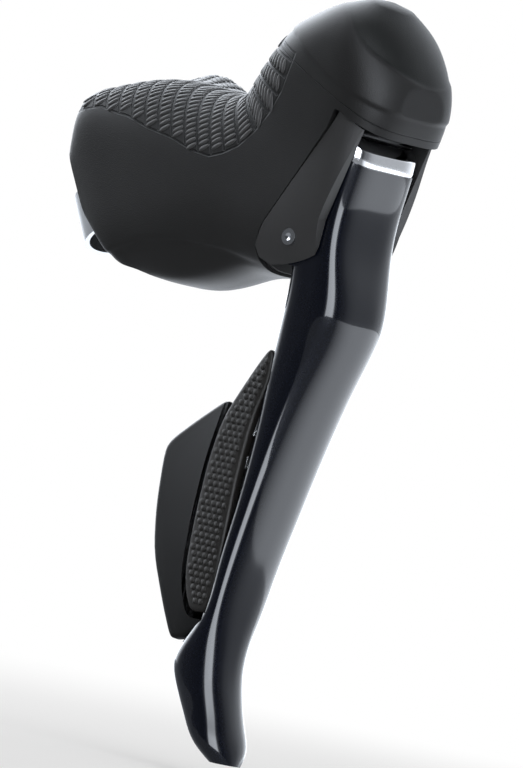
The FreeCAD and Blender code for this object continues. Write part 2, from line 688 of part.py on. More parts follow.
def hump():
    """Swelling of the hood's crest on its inner side."""
    ball = Part.makeSphere(1.0)
    stretch = FreeCAD.Matrix()
    stretch.scale(size("hump_length"), size("hump_width"), size("hump_height"))
    swelling = ball.transformGeometry(stretch)
    swelling.translate(Vector(size("hump_x"), size("hump_side"), size("hump_z")))
    return swelling


def make_hood(outer, inner):
    gap = size("hood_bar_gap")
    seat = size("casing_radius") + size("casing_wall") + gap
    tools = [
        inner, ear_space(), bar(size("bar_radius") + gap),
        drum(size("casing_radius") + gap, casing_base(), FAR, CASING),
        drum(seat, casing_base(), gap - size("casing_inset"), CASING),
        band_solid(gap, gap, size("band_width") + 2 * gap),
    ]
    shell = outer.fuse(hump()).cut(tools + [grip_grooves()])
    largest = max(shell.Solids, key=lambda solid: solid.Volume)
    return feature("hood_cover", largest)


# ---------------------------------------------------------------- handlebar clamp

def make_clamp():
    strap = band_solid(0.0, 0.0, size("band_width"))
    hole = drum(size("bolt_radius") + size("bolt_play"), 0, size("bolt_seat"), bolt_place(0))
    feature("clamp_band", strap.cut(hole))

    nut = new_body("clamp_nut", bolt_place(size("band_reach")))
    half = "nut_width / 2"
    pad(nut, rectangle(nut, "XY", (f"0 - {half}", f"0 - {half}"), (half, half)), "nut_depth")
    bore = circles(nut, "XY", ("0", "0", "bolt_radius + thread_gap"))
    pocket(nut, bore, "nut_depth", reverse=True)

    bolt = new_body("clamp_bolt", bolt_place(size("bolt_seat")))
    shank = circles(bolt, "XY", ("0", "0", "bolt_radius"))
    pad(bolt, shank, "bolt_seat - band_reach + band_thickness", reverse=True)
    pad(bolt, circles(bolt, "XY", ("0", "0", "bolt_head_radius")), "bolt_head_height")
    socket = hexagon(bolt, "XY", "bolt_key")
    pocket(bolt, socket, "bolt_head_height * 0.6", "bolt_head_height")


# ---------------------------------------------------------------- axle, bushes, spring, hook

def make_axle():
    """Lever axle: sunk end with a dimple on the outer side, clip groove on the inner side."""
    reach = "blade_width / 2 + ear_gap + ear_wall"
    start = f"axle_sink - ({reach})"
    end = f"{reach} - axle_sink"
    groove = f"{reach} - clip_sink"
    neck = "axle_radius - clip_groove"
    turned_piece("lever_axle", (
        ("0", f"{start} + axle_dimple / 2"), ("axle_dimple", start), ("axle_radius", start),
        ("axle_radius", groove), (neck, groove), (neck, f"{groove} + clip_thickness + fit_gap"),
        ("axle_radius", f"{groove} + clip_thickness + fit_gap"), ("axle_radius", end), ("0", end),
    ), Placement(PIVOT, Rotation(X_AXIS, -90)))

    groove_y = HALF_EARS - size("clip_sink") + size("fit_gap") / 2
    clip = new_body("axle_clip", Placement(PIVOT + Y_AXIS * groove_y, Rotation(X_AXIS, -90)))
    pad(clip, circles(clip, "XY", ("0", "0", "clip_radius")), "clip_thickness")
    neck_play = "axle_radius - clip_groove + fit_gap"
    pocket(clip, circles(clip, "XY", ("0", "0", neck_play)), "clip_thickness", reverse=True)
    mouth = rectangle(clip, "XY", ("0", "0 - axle_radius * 0.6"), ("clip_radius * 2", "axle_radius * 0.6"))
    pocket(clip, mouth, "clip_thickness", reverse=True)


def make_bushes():
    """Two flanged bushes, one in each wall of the lever."""
    halves = []
    bore = "axle_radius + axle_play"
    outer = f"{bore} + bush_wall"
    for name, side in (("outer_bush", -1), ("inner_bush", 1)):
        place = Placement(PIVOT + Y_AXIS * (side * HALF_BLADE), Rotation(X_AXIS, -90 * side))
        inward = "0 - blade_wall"
        halves.append(turned_piece(name, (
            (bore, f"{inward} - bush_flange_thickness"),
            (f"{outer} + bush_flange", f"{inward} - bush_flange_thickness"),
            (f"{outer} + bush_flange", inward), (outer, inward), (outer, "ear_gap - bush_step"),
            (bore, "ear_gap - bush_step"),
        ), place))
    compound("pivot_bushes", halves)


def make_spring():
    """Torsion spring round the axle; one leg rests in the bracket, the other on the lever."""
    pitch = size("spring_pitch")
    turns = size("spring_turns")
    radius = size("spring_radius")
    wire = size("spring_wire") / 2
    coil = Part.Wire(Part.makeHelix(pitch, pitch * turns, radius).Edges)
    ring = Part.Wire(Part.makeCircle(wire, Vector(radius, 0, 0), Vector(0, 1, pitch / (2 * math.pi * radius))))
    spring = coil.makePipeShell([ring], True, True)
    rear = size("hub_radius") + size("bay_play") - wire
    ahead = BLADE_STATIONS[3][1] - size("blade_wall") - wire
    legs = (
        Part.makeCylinder(wire, rear, Vector(0, radius, 0), Vector(-1, 0, 0)),
        Part.makeCylinder(wire, ahead, Vector(0, radius, pitch * turns), Vector(1, 0, 0)),
    )
    spring = spring.fuse(legs[0]).fuse(legs[1])
    spring.Placement = Placement(PIVOT + Y_AXIS * size("spring_side"), Rotation(X_AXIS, -90))
    feature("return_spring", spring)


def make_hook():
    """Barrel that turns in the lever's walls and holds the brake wire's end."""
    half = "blade_width / 2 - blade_wall - hook_side_gap"
    end = "blade_width / 2 - trunnion_sink"
    place = Placement(PIVOT + Vector(size("hook_x"), 0, size("hook_z")), Rotation(X_AXIS, -90))
    hook = turned_piece("cable_hook", (
        ("0", f"0 - ({end})"), ("trunnion_radius", f"0 - ({end})"),
        ("trunnion_radius", f"0 - ({half})"), ("hook_radius", f"0 - ({half})"),
        ("hook_radius", half), ("trunnion_radius", half), ("trunnion_radius", end), ("0", end),
    ), place)
    wire_slot = rectangle(hook, "YZ", ("0 - wire_radius", "0 - wire_radius"), ("hook_radius", "wire_radius"))
    pocket(hook, wire_slot, "hook_radius", reverse=True)
    pocket(hook, circles(hook, "XZ", ("0", "0", "nipple_radius")), "hook_radius")


# ---------------------------------------------------------------- lever blade and trim

def blade_form(inset=0.0):
    """Solid blade between level sections."""
    wires = []
    for height, front, rear, middle, less, squareness in BLADE_STATIONS:
        half_width = (size("blade_width") - less) / 2 - inset
        low = (PIVOT.x + rear + inset, PIVOT.z + height)
        high = (PIVOT.x + front - inset, PIVOT.z + height)
        wires.append(oval(low, high, middle, half_width, squareness))
    return loft(wires)


def trim_space():
    return slab(from_pivot(TRIM_FOOT + TRIM_AHEAD), -FAR, FAR)


def channel():
    """Hollow in the lever behind its front wall, open to the rear."""
    wall = size("blade_wall")
    front = [(PIVOT.x + station[1] - wall, PIVOT.z + station[0]) for station in BLADE_STATIONS[2:8]]
    top = from_pivot(CHANNEL_TOP)
    foot = [(top[0][0], front[-1][1] - size("channel_rise"))]
    return slab(top + front + foot, -HALF_BLADE + wall, HALF_BLADE - wall)


def make_blade(form):
    half_room = HALF_BLADE - size("blade_wall")
    eye = cross_drum(size("hub_radius"), -HALF_BLADE, HALF_BLADE, PIVOT.x, PIVOT.z)
    above = block((-FAR, -FAR, PIVOT.z + size("blade_top")), (FAR, FAR, FAR))
    solid = form.fuse(eye).cut([above, trim_space(), channel()])
    rear = PIVOT.x + size("web_rear")
    front = PIVOT.x + size("web_front")
    low = PIVOT.z + size("web_low")
    high = PIVOT.z + size("web_high")
    side = half_room + size("web_root")
    solid = solid.fuse(block((rear, -side, low), (front, side, high)))
    bush = size("axle_radius") + size("axle_play") + size("bush_wall")
    hook = (PIVOT.x + size("hook_x"), PIVOT.z + size("hook_z"))
    thread = size("small_screw") + size("thread_gap")
    tools = [
        cross_drum(bush, -FAR, FAR, PIVOT.x, PIVOT.z),
        cross_drum(size("trunnion_radius") + size("hook_play"), -FAR, FAR, *hook),
        drum(size("reach_radius") + size("thread_gap"), 0, size("reach_length"), reach_place()),
        trim_screw_cut(),
    ]
    tools += [drum(thread, -size("small_length"), 0, place) for place in base_screw_places()]
    tools += button_room()
    return feature("lever_blade", max(solid.cut(tools).Solids, key=lambda piece: piece.Volume))


def make_trim(form):
    rear, front = TRIM_CROWN[-1][0], TRIM_CROWN[0][0]
    crown = slab(from_pivot(TRIM_CROWN[::-1] + ((rear, FAR), (front, FAR))), -FAR, FAR)
    solid = form.common(trim_space()).cut(crown)
    solid.translate(Vector(0, 0, size("trim_gap")))
    solid = solid.cut(trim_screw_cut())
    return feature("top_trim", max(solid.Solids, key=lambda piece: piece.Volume))


def trim_screw_place():
    return Placement(PIVOT + Vector(size("trim_screw_x"), 0, size("trim_screw_z")), Rotation())


def trim_screw_cut():
    play = size("thread_gap")
    tip = -size("small_length") - size("trim_screw_room")
    shank = drum(size("small_screw") + play, tip, 0, trim_screw_place())
    return shank.fuse(drum(size("small_head") + 2 * play, 0, FAR, trim_screw_place()))


def screw(label, place, extra="0"):
    """Small cap screw; its head stands on the placement's XY plane."""
    length = f"0 - (small_length + {extra})"
    return turned_piece(label, (
        ("0", length), ("small_screw", length), ("small_screw", "0"), ("small_head", "0"),
        ("small_head", "small_head_height"), ("small_head * 0.5", "small_head_height"),
        ("small_head * 0.5", "small_head_height * 0.4"), ("0", "small_head_height * 0.4"),
    ), place)


def reach_place():
    """Frame on the reach screw's axis, Z forward, at its tip."""
    height = (size("web_low") + size("web_high")) / 2
    return Placement(PIVOT + Vector(size("reach_tip"), 0, height), Rotation(Y_AXIS, 90))


def make_reach():
    reach = new_body("reach_screw", reach_place())
    pad(reach, circles(reach, "XY", ("0", "0", "reach_radius")), "reach_length")
    pocket(reach, hexagon(reach, "XY", "reach_key"), "reach_key", "reach_length")

    feature("stop_pad", stop_block(0.0))


def stop_block(grow):
    """Pad set into the bracket behind the reach screw."""
    face = PIVOT.x + size("reach_tip") - size("stop_gap")
    rear = face - size("stop_thickness")
    half = size("stop_width") / 2 + grow
    middle = PIVOT.z + (size("web_low") + size("web_high")) / 2
    return block((rear - grow, -half, middle - half / 2), (face, half, middle + half / 2))


# ---------------------------------------------------------------- shift buttons and their switch

def button_layers():
    """Depths in the buttons' frame, from the front button's outer face inward."""
    arms = size("front_button_thickness") + size("arm_gap")
    pin = arms + size("pin_eye")
    base = pin + size("pin_eye") + size("base_gap")
    return arms, pin, base


def button_plate(corners, low_y, high_y, grow=0.0):
    face = Part.Face(Part.makePolygon([Vector(x, low_y, z) for x, z in corners + corners[:1]]))
    if grow:
        face = face.makeOffset2D(grow)
    return face.extrude(Vector(0, high_y - low_y, 0))


def pin_drum(radius, middle, length):
    """Cylinder round the button pin."""
    depth = button_layers()[1]
    return Part.makeCylinder(radius, length, Vector(size("pin_x"), depth, middle - length / 2), Z_AXIS)


def plunger(middle, from_y):
    """Stem that presses a dome through the seal."""
    base = button_layers()[2]
    x = (size("base_x") + size("base_front")) / 2
    length = base - size("plunger_gap") - from_y
    return Part.makeCylinder(size("dome_top"), length, Vector(x, from_y, middle), Y_AXIS)


def with_eyes(plate, places, low_y, rear):
    """Button plate with an arm and an eye round the pin at each place."""
    solid = plate
    eye = size("pin_eye")
    pin = button_layers()[1]
    half = size("eye_length") / 2
    for middle in places:
        arm = block((rear, low_y, middle - half), (size("pin_x"), pin + eye * 0.3, middle + half))
        solid = solid.fuse(arm).fuse(pin_drum(eye, middle, size("eye_length")))
    return solid.cut(pin_drum(size("pin_radius") + size("pin_play"), 0.0, FAR))


def make_buttons():
    arms = button_layers()[0]
    thickness = size("front_button_thickness")
    front = button_plate(FRONT_BUTTON, 0.0, thickness)
    front = front.fuse(plunger(FRONT_DOME, thickness / 2))
    front = with_eyes(front, FRONT_EYES, thickness / 2, size("pin_x") - size("pin_eye"))
    front.Placement = BUTTONS
    feature("front_button", front.removeSplitter())

    inset = size("rear_button_inset")
    rear = button_plate(REAR_BUTTON, inset, inset + size("rear_button_thickness"))
    riser_x = REAR_BUTTON[-2][0] - size("riser_back")
    riser_end = riser_x + size("riser_length")
    root = inset + size("riser_root")
    reach = arms + size("riser_reach")
    half = size("eye_length") / 2
    for middle in REAR_EYES:
        rear = rear.fuse(block((riser_x, root, middle - half), (riser_end, reach, middle + half)))
    rear = rear.fuse(plunger(REAR_DOME, arms + size("riser_root")))
    rear = with_eyes(rear, REAR_EYES, arms, riser_x)
    rear.Placement = BUTTONS
    feature("rear_button", rear.removeSplitter())


def button_room():
    """What the blade gives up to the buttons and their switch."""
    pin = button_layers()[1]
    gap = size("button_gap")
    out = -size("room_reach")
    front = button_plate(FRONT_BUTTON, out, size("front_button_thickness") + gap, gap)
    rear = button_plate(REAR_BUTTON, out, pin, gap)
    eyes = pin_drum(size("pin_eye") + gap, 0.0, 2 * (size("base_high") - size("base_low")))
    keep = block((-FAR, -FAR, size("base_low")), (FAR, FAR, size("base_high")))
    room = [front, rear, eyes.common(keep), base_block(size("box_gap"))]
    for solid in room:
        solid.Placement = BUTTONS
    return room


def base_block(grow):
    base = button_layers()[2]
    return block(
        (size("base_x") - grow, base - grow, size("base_low") - grow),
        (size("base_front") + grow, base + size("base_depth") + grow, size("base_high") + grow),
    )


def base_screw_places():
    """Frames on the switch housing's two screws, Z to the rear, at their heads' seats."""
    base = button_layers()[2]
    edge = size("base_screw_edge")
    seat = size("base_front") - size("base_screw_sink")
    seats = []
    for height in (size("base_low") + edge, size("base_high") - edge):
        spot = Vector(seat, base + size("base_depth") / 2, height)
        seats.append(BUTTONS.multiply(Placement(spot, Rotation(Y_AXIS, -90))))
    return seats


def make_switch():
    """Housing behind the blade with its board, domes, seal, screws and the buttons' pin."""
    arms, _, base = button_layers()
    wall = size("base_wall")
    fit = size("fit_gap")
    floor = base + size("base_depth") - wall
    low = size("base_low")
    high = size("base_high")
    ear = size("base_ear")
    screw_room = size("screw_room")

    def inside(low_y, high_y, inset):
        return block(
            (size("base_x") + wall + inset, low_y, low + screw_room + inset),
            (size("base_front") - wall - inset, high_y, high - screw_room - inset),
        )

    housing = base_block(0.0).cut(inside(base - wall, floor, 0.0))
    rear = size("pin_x") - size("pin_eye")
    near = arms + size("lug_gap")
    for start in (low, high - ear):
        lug = block((rear, near, start), (size("base_front"), base + wall, start + ear))
        housing = housing.fuse(lug)
    housing = housing.cut(pin_drum(size("pin_radius") + fit, (low + high) / 2, FAR))
    housing.Placement = BUTTONS
    for place in base_screw_places():
        housing = housing.cut(drum(size("small_screw") + fit, -size("base_depth") * 2, 0, place))
        housing = housing.cut(drum(size("small_head") + 2 * fit, 0, FAR, place))
    feature("switch_housing", housing.removeSplitter())

    board = inside(floor - fit - size("board_thickness"), floor - fit, fit)
    dome_y = floor - 2 * fit - size("board_thickness")
    seal = inside(base, base + size("seal_thickness"), fit)
    domes = []
    x = (size("base_x") + size("base_front")) / 2
    for middle in (FRONT_DOME, REAR_DOME):
        spot = Vector(x, dome_y, middle)
        domes.append(Part.makeCone(size("dome_radius"), size("dome_top"), size("dome_height"),
                                   spot, Y_AXIS * -1))
        nub = dome_y - size("dome_height") - fit - base
        nub_foot = Vector(x, base, middle)
        seal = seal.fuse(Part.makeCylinder(size("dome_top"), nub, nub_foot, Y_AXIS))
    pieces = (
        ("switch_board", board), ("dome_switches", Part.makeCompound(domes)), ("switch_seal", seal),
        ("button_pin", pin_drum(size("pin_radius"), (low + high) / 2, high - low)),
    )
    for label, shape in pieces:
        shape.Placement = BUTTONS
        feature(label, shape)
    screws = [screw(f"housing_screw_{index}", place) for index, place in enumerate(base_screw_places())]
    compound("housing_screws", screws)


# ---------------------------------------------------------------- pieces inside the bracket

def make_junction_box():
    turn = Rotation(X_AXIS, -90)
    corner = Vector(size("box_x"), size("box_y"), size("box_z"))
    box = new_body("junction_box", Placement(corner, turn))
    tab_offset = "box_depth - box_tab_thickness"
    pad(box, rectangle(box, "XY", ("0", "0 - box_height"), ("box_length", "0")), "box_depth")
    tabs = rectangle(box, "XY", ("0 - box_tab", "0 - box_height"), ("box_length + box_tab", "0"))
    pad(box, tabs, "box_tab_thickness", tab_offset)
    middle = "0 - box_height / 2"
    left = "box_length / 2 - port_pitch / 2"
    right = "box_length / 2 + port_pitch / 2"
    ports = circles(box, "XY", (left, middle, "port_radius"), (right, middle, "port_radius"))
    pocket(box, ports, "port_depth", "box_depth")
    hole = "small_screw + thread_gap"
    holes = circles(box, "XY", ("0 - box_tab / 2", middle, hole),
                    ("box_length + box_tab / 2", middle, hole))
    pocket(box, holes, "box_tab_thickness", "box_depth")

    face = size("box_y") + size("box_depth")
    plugs = []
    shank = "port_radius - plug_gap"
    for index, side in enumerate((-1, 1)):
        x = size("box_x") + size("box_length") / 2 + side * size("port_pitch") / 2
        place = Placement(Vector(x, face, box_middle_z()), turn)
        plugs.append(turned_piece(f"port_plug_{index}", (
            ("0", "0 - port_depth * 0.8"), (shank, "0 - port_depth * 0.8"), (shank, "0"),
            ("plug_cap", "0"), ("plug_cap", "plug_cap_thickness"), ("0", "plug_cap_thickness"),
        ), place))
    compound("port_plugs", plugs)
    screws = []
    for index, x in enumerate(box_screw_places()):
        screws.append(screw(f"box_screw_{index}", Placement(Vector(x, face, box_middle_z()), turn)))
    compound("box_screws", screws)


def make_casing_seat():
    """Cup that takes the end of the brake's outer casing."""
    outer = "casing_radius + casing_wall"
    mouth = "0 - casing_inset"
    floor = f"{mouth} - casing_depth"
    turned_piece("casing_seat", (
        ("wire_radius", f"{floor} - casing_floor"), (outer, f"{floor} - casing_floor"),
        (outer, mouth), ("casing_radius", mouth), ("casing_radius", floor), ("wire_radius", floor),
    ), CASING)


def make_top_switch():
    """Button under the hood's horn, in its housing."""
    crest = "0 - hood_wall - top_cover"
    under = f"{crest} - top_thickness"
    turned_piece("top_button", (
        ("0", under), ("top_radius", under), ("top_radius", f"{crest} - top_thickness / 3"),
        ("top_radius * 0.8", crest), ("0", crest),
    ), TOP_SWITCH)
    foot = f"{under} - top_housing_length"
    seat = f"{under} - top_travel - top_play"
    bore = "top_radius + top_play"
    turned_piece("top_switch_housing", (
        ("0", foot), ("top_housing", foot), ("top_housing", f"{crest} - top_thickness / 3"),
        (bore, f"{crest} - top_thickness / 3"), (bore, seat), ("0", seat),
    ), TOP_SWITCH)


# ---------------------------------------------------------------- the whole lever

NODES = (
    "bracket_body", "hood_cover", "clamp_band", "clamp_nut", "clamp_bolt", "lever_axle", "axle_clip",
    "pivot_bushes", "return_spring", "cable_hook", "casing_seat", "junction_box", "port_plugs",
    "box_screws", "top_switch_housing", "top_button", "stop_pad", "reach_screw", "lever_blade",
    "top_trim", "trim_screw", "switch_housing", "housing_screws", "switch_board", "dome_switches",
    "switch_seal", "button_pin", "front_button", "rear_button",
)


def build():
    outer = hood_form(0.0)
    inner = hood_form(size("hood_wall"))
    core = hood_form(size("hood_wall") + size("hood_gap"))
    make_bracket(outer, core)
    make_hood(outer, inner)
    make_clamp()
    make_axle()
    make_bushes()
    make_spring()
    make_hook()
    form = blade_form()
    make_blade(form)
    make_trim(form)
    screw("trim_screw", trim_screw_place())
    make_reach()
    make_buttons()
    make_switch()
    make_junction_box()
    make_casing_seat()
    make_top_switch()
    DOC.recompute()


def check():
    """Stop on any failed object or bad shape."""
    for thing in DOC.Objects:
        if "Invalid" in thing.State or "Error" in thing.State:
            raise ValueError(f"{thing.Label} failed to build")
    for label in NODES:
        shape = DOC.getObject(label).Shape
        if shape.isNull() or not shape.isValid() or not shape.Solids:
            raise ValueError(f"{label} has no sound solid")


def write():
    os.makedirs("parts", exist_ok=True)
    for label in NODES:
        DOC.getObject(label).Shape.exportStep(os.path.join("parts", label + ".step"))


build()
check()
write()
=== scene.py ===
import math

import bmesh
import bpy
import numpy as np
from bpy.props import FloatProperty, FloatVectorProperty, PointerProperty
from mathutils import Matrix, Vector


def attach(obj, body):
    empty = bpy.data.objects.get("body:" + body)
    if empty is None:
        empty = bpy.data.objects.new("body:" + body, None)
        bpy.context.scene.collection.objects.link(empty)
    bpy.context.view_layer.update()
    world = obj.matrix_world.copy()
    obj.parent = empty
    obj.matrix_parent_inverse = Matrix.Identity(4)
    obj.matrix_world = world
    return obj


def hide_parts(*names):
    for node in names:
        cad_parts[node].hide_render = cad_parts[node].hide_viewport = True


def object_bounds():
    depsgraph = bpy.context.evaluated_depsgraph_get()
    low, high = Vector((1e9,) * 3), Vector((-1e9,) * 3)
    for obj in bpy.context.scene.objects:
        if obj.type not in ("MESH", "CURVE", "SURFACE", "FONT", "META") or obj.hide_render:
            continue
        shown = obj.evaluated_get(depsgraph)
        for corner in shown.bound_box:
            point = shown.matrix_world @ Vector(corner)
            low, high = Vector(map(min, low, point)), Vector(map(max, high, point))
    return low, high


bl_info = {
    "name": "Brake shift lever",
    "version": (1, 0, 0),
    "blender": (4, 5, 0),
    "location": "3D View > Sidebar > Lever",
    "description": "Dresses the frame of a drop-bar brake shift lever",
    "category": "Object",
}

# Sizes and places are in millimetres in the lever's frame: origin at the middle of the
# handlebar clamp, +X forward, +Z up, +Y towards the bicycle's centre. MM turns them to metres.

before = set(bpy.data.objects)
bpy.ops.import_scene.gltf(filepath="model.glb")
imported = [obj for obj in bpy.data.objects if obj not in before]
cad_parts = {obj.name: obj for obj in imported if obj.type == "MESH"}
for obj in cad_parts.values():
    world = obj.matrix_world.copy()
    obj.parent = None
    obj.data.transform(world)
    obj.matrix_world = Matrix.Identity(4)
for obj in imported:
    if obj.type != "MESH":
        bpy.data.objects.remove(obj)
CAD_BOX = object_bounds()
MM = 0.001
BOX_MARGIN = 0.02

PIVOT = Vector((64.8, 0.0, -2.6))
HALF_BLADE = 12.2
BLADE_WALL = 2.4
HUB_RADIUS = 6.5
BUSH_BORE = 2.85
BAR_RADIUS = 12.3
BAR_LEAN = 31.0
CASING_MOUTH = Vector((-0.6, 9.2, 24.4))
CASING_LEAN = 40.0
CASING_HOLE = 2.9
CASING_REACH = 12.0

# Hood: low end and top end of each section in side view, half-width, squareness.
HOOD_STATIONS = (
    (2.2, -10.2, -10.6, 9.5, 15.4, 5.0),
    (8.4, -15.8, -10.8, 17.6, 16.2, 5.0),
    (16.6, -18.6, -4.4, 24.6, 16.9, 4.4),
    (27.6, -18.6, 7.0, 28.4, 17.3, 3.4),
    (39.0, -15.8, 19.0, 29.6, 17.1, 2.9),
    (48.5, -12.6, 29.0, 28.7, 16.8, 2.9),
    (60.0, -11.2, 36.4, 29.0, 16.5, 3.6),
    (77.5, -3.0, 39.7, 31.0, 16.5, 4.2),
    (81.2, 19.0, 42.1, 35.9, 17.2, 3.9),
    (83.5, 29.0, 44.9, 41.5, 18.1, 3.3),
    (83.75, 37.0, 48.4, 47.2, 18.4, 2.7),
    (81.1, 44.2, 54.5, 52.0, 17.2, 2.2),
    (76.3, 50.9, 60.7, 55.5, 12.5, 2.0),
    (72.5, 55.0, 65.0, 57.2, 6.5, 2.0),
)
HOOD_TIP = Vector((68.7, 0.0, 57.0))
HOOD_RINGS = 250
HOOD_SPOKES = 150

# Opening of the hood for the bracket's ears and the lever, in side view.
EAR_OPENING = (
    (70.6, 24.6), (56.2, -0.8), (54.5, -6.0), (54.5, -40.0), (110.0, -40.0), (110.0, 11.6),
    (72.0, 29.3),
)
# Lower edge of the hood's ribbed grip, in side view, from the rear to the knob.
GRIP_EDGE = (
    (-14.0, 14.5), (-7.1, 17.6), (-1.2, 19.3), (3.1, 18.6), (8.6, 18.2), (15.5, 16.4),
    (23.8, 15.1), (30.7, 13.1), (36.3, 12.5), (40.0, 13.8), (44.2, 16.2), (47.9, 20.0),
    (51.3, 24.7), (54.4, 30.8), (56.8, 39.2), (58.0, 46.0),
)
GRIP_END = (46.0, 44.5)
GRIP_END_SLOPE = 0.4
GRIP_LEVEL = 0.875
# The crest's swelling on the inner side: place and reach along X and Y, height, lowest point.
HUMP_PLACE = (12.0, 10.5)
HUMP_REACH = (10.0, 6.5)
HUMP_HEIGHT = 4.4
HUMP_FLOOR = 5.0
# The underside's tuck under UNDER_EDGE: depth, and where it sets in.
TUCK = 0.9
TUCK_BELOW = (0.0, 1.6)
TUCK_ASIDE = (9.0, 14.0)
TUCK_FROM = (0.0, 8.0)
TUCK_UNTIL = (-58.0, -50.0)
UNDER_EDGE = ((-6.0, -16.0), (9.8, -14.2), (20.0, -9.6), (32.8, -7.6), (44.0, -8.0), (60.0, -10.5))
KNOB_EDGE = ((40.0, 50.0), (55.6, 44.4), (59.5, 41.5), (67.4, 36.8), (74.0, 33.8), (90.0, 28.0))

KNOB_SWELL = 0.45
KNOB_SOFT = (-0.4, 0.8)
# The smooth oval over the knob.
OVAL_PLACE = (72.0, 1.0, 47.5)
OVAL_RUN = (-0.776, 0.631)
OVAL_REACH = (14.5, 17.0)
OVAL_FLOOR = 30.0
OVAL_FAR = 30.0
OVAL_SCALE = 15.0
OVAL_SINK = 0.4
OVAL_SOFT = (-0.03, 0.03)
# The hood's lower rim over the lever, and the lines in its finish: place, half-width, softness.
# The lines are grooves and seams, sunk by a bump and painted near-black as shade.
RIM_PLACE = EAR_OPENING[-1]
RIM_FALL = 25.0
ROW_GROOVE = (0.5, 0.045, 0.05)
GRIP_SEAM = (0.0, 0.14, 0.22)
PARTING_LINE = (1.9, 0.05, 0.12)
# Near-black tone of the grooves, seam and parting line: painted shade in these recesses.
GROOVE_SHADE_TONE = (0.006, 0.006, 0.006, 1)
LINE_DEPTH = -8.0
# Grip ribs: length in rows and as a share of its run, slant along the ring, clear edges.
RIB_SPAN = 0.4
RIB_SHARE = 0.86
RIB_SLANT = 0.9
RIB_EDGE = 0.7
RIB_BAR_GAP = 2.0
RIB_SPOKES = 480
FINE_PLACES = 400
ROW_AT_TIP = 99.0

# Lever blade, level sections: height, front and rear from the pivot, middle, half-width,
# squareness.
BLADE_STATIONS = (
    (32.0, 13.6, -2.4, 0.0, 12.2, 5.0),
    (21.0, 13.0, -2.4, 0.0, 12.2, 5.0),
    (9.0, 11.4, -2.4, 0.0, 12.2, 5.0),
    (-1.0, 11.6, -2.4, 0.0, 12.2, 5.0),
    (-10.0, 13.7, -2.4, 0.0, 12.2, 4.0),
    (-17.0, 14.4, -2.8, 0.0, 12.15, 3.7),
    (-24.0, 13.0, -3.2, 0.0, 12.05, 3.5),
    (-32.0, 10.7, -3.0, -0.6, 11.8, 3.4),
    (-41.0, 8.7, -2.0, -1.6, 11.4, 3.3),
    (-52.0, 7.0, -1.2, -3.0, 10.8, 3.2),
    (-66.0, 5.8, -0.8, -5.2, 10.1, 3.1),
    (-80.0, 5.3, -0.6, -7.8, 9.4, 3.0),
    (-92.0, 5.6, -1.4, -10.0, 8.8, 2.9),
    (-98.0, 6.2, -5.0, -11.0, 8.5, 2.8),
    (-103.0, 7.1, -6.8, -11.6, 8.3, 2.8),
    (-109.0, 9.1, -4.4, -12.1, 8.2, 2.6),
    (-116.0, 12.1, 0.2, -12.3, 8.0, 2.4),
    (-122.0, 14.3, 5.4, -12.4, 7.2, 2.2),
    (-125.0, 14.7, 9.0, -12.4, 4.7, 2.0),
)
BLADE_RINGS = 220
BLADE_SPOKES = 96
BLADE_TOP = 29.4
CHANNEL = (
    (-20.0, 40.0), (6.9, 40.0), (6.9, 18.2), (8.6, 16.2), (9.0, 9.0), (9.2, -1.0), (11.3, -10.0),
    (12.0, -17.0), (10.6, -24.0), (8.3, -32.0), (-20.0, -35.0),
)
WEB = ((-1.8, 18.2), (4.2, 18.2), (4.2, 24.2), (-1.8, 24.2))
TRIM_FOOT = ((7.4, 36.0), (7.7, 26.4), (9.2, 22.4), (11.0, 20.4), (13.0, 19.4), (22.0, 18.4))
TRIM_CROWN = ((22.0, 23.9), (13.2, 25.9), (7.0, 29.4))
TRIM_LEVELS = (18.0, 32.0)
TRIM_SPOKES = 480
TRIM_SIDE = 120
TRIM_MIX = 0.4
TRIM_LEAST = 0.25
# Trim from foot to crown: share of the height, depth inward, share of the bevel inward.
TRIM_PROFILE = (
    (0.0, 0.6, 0.0), (0.015, 0.2, 0.0), (0.05, 0.05, 0.0), (0.1, 0.0, 0.0), (0.5, 0.0, 0.0),
    (0.55, 0.03, 0.0), (0.585, 0.12, 0.0), (0.61, 0.3, 0.0), (0.97, 0.0, 0.7), (1.0, 0.0, 1.0),
)
TOOL_REACH = 60.0
WEB_OVERLAP = 0.5

# Shift buttons in side view: from the pivot, and in height from their own leaning frame.
BUTTON_LEAN = 5.4
BUTTON_ORIGIN = Vector((64.8, -13.0, -44.6))
FRONT_BUTTON = (
    (-2.2, 15.4), (-0.6, 14.6), (0.3, 8.0), (-1.6, -1.6), (-1.5, -16.0), (-0.1, -31.0),
    (1.1, -45.0), (1.0, -49.0), (-4.4, -49.6), (-7.0, -46.0), (-9.4, -40.0), (-10.9, -27.0),
    (-11.4, -12.5), (-10.4, -3.0), (-8.4, 2.4), (-4.6, 11.0),
)
REAR_BUTTON = (
    (-10.6, 2.2), (-18.0, -4.0), (-24.8, -10.3), (-26.2, -13.4), (-24.2, -26.8),
    (-21.0, -37.8), (-14.0, -49.4), (-9.8, -55.6), (-8.4, -56.8), (-4.6, -55.9), (0.6, -51.0),
    (0.5, -49.7), (-4.7, -50.2), (-7.5, -46.2), (-9.9, -40.0), (-11.4, -27.0), (-11.9, -12.5),
    (-10.9, -2.9),
)
PLATE = 2.4
REAR_INSET = 0.9
PIN_X = -2.6
PIN_DEPTH = 4.8
PIN_EYE = 1.6
ARM_DEPTH = 3.2
EYE_LENGTH = 5.0
EYE_OVERLAP = 0.3
BUTTON_GAP = 0.4
BUTTON_ROOM = 5.0
BASE_ROOM = ((-8.55, -49.15), (-1.25, 8.15))
BASE_DEPTH = (7.25, 12.0)
RISER = (-14.9, -12.4)
RISER_ROOT = 0.5
RISER_REACH = 1.5
# A button's edge: inset from the outline, depth behind the outer face.
BUTTON_EDGE = ((0.0, PLATE), (0.0, 0.9), (-0.12, 0.45), (-0.45, 0.12), (-1.0, 0.0))
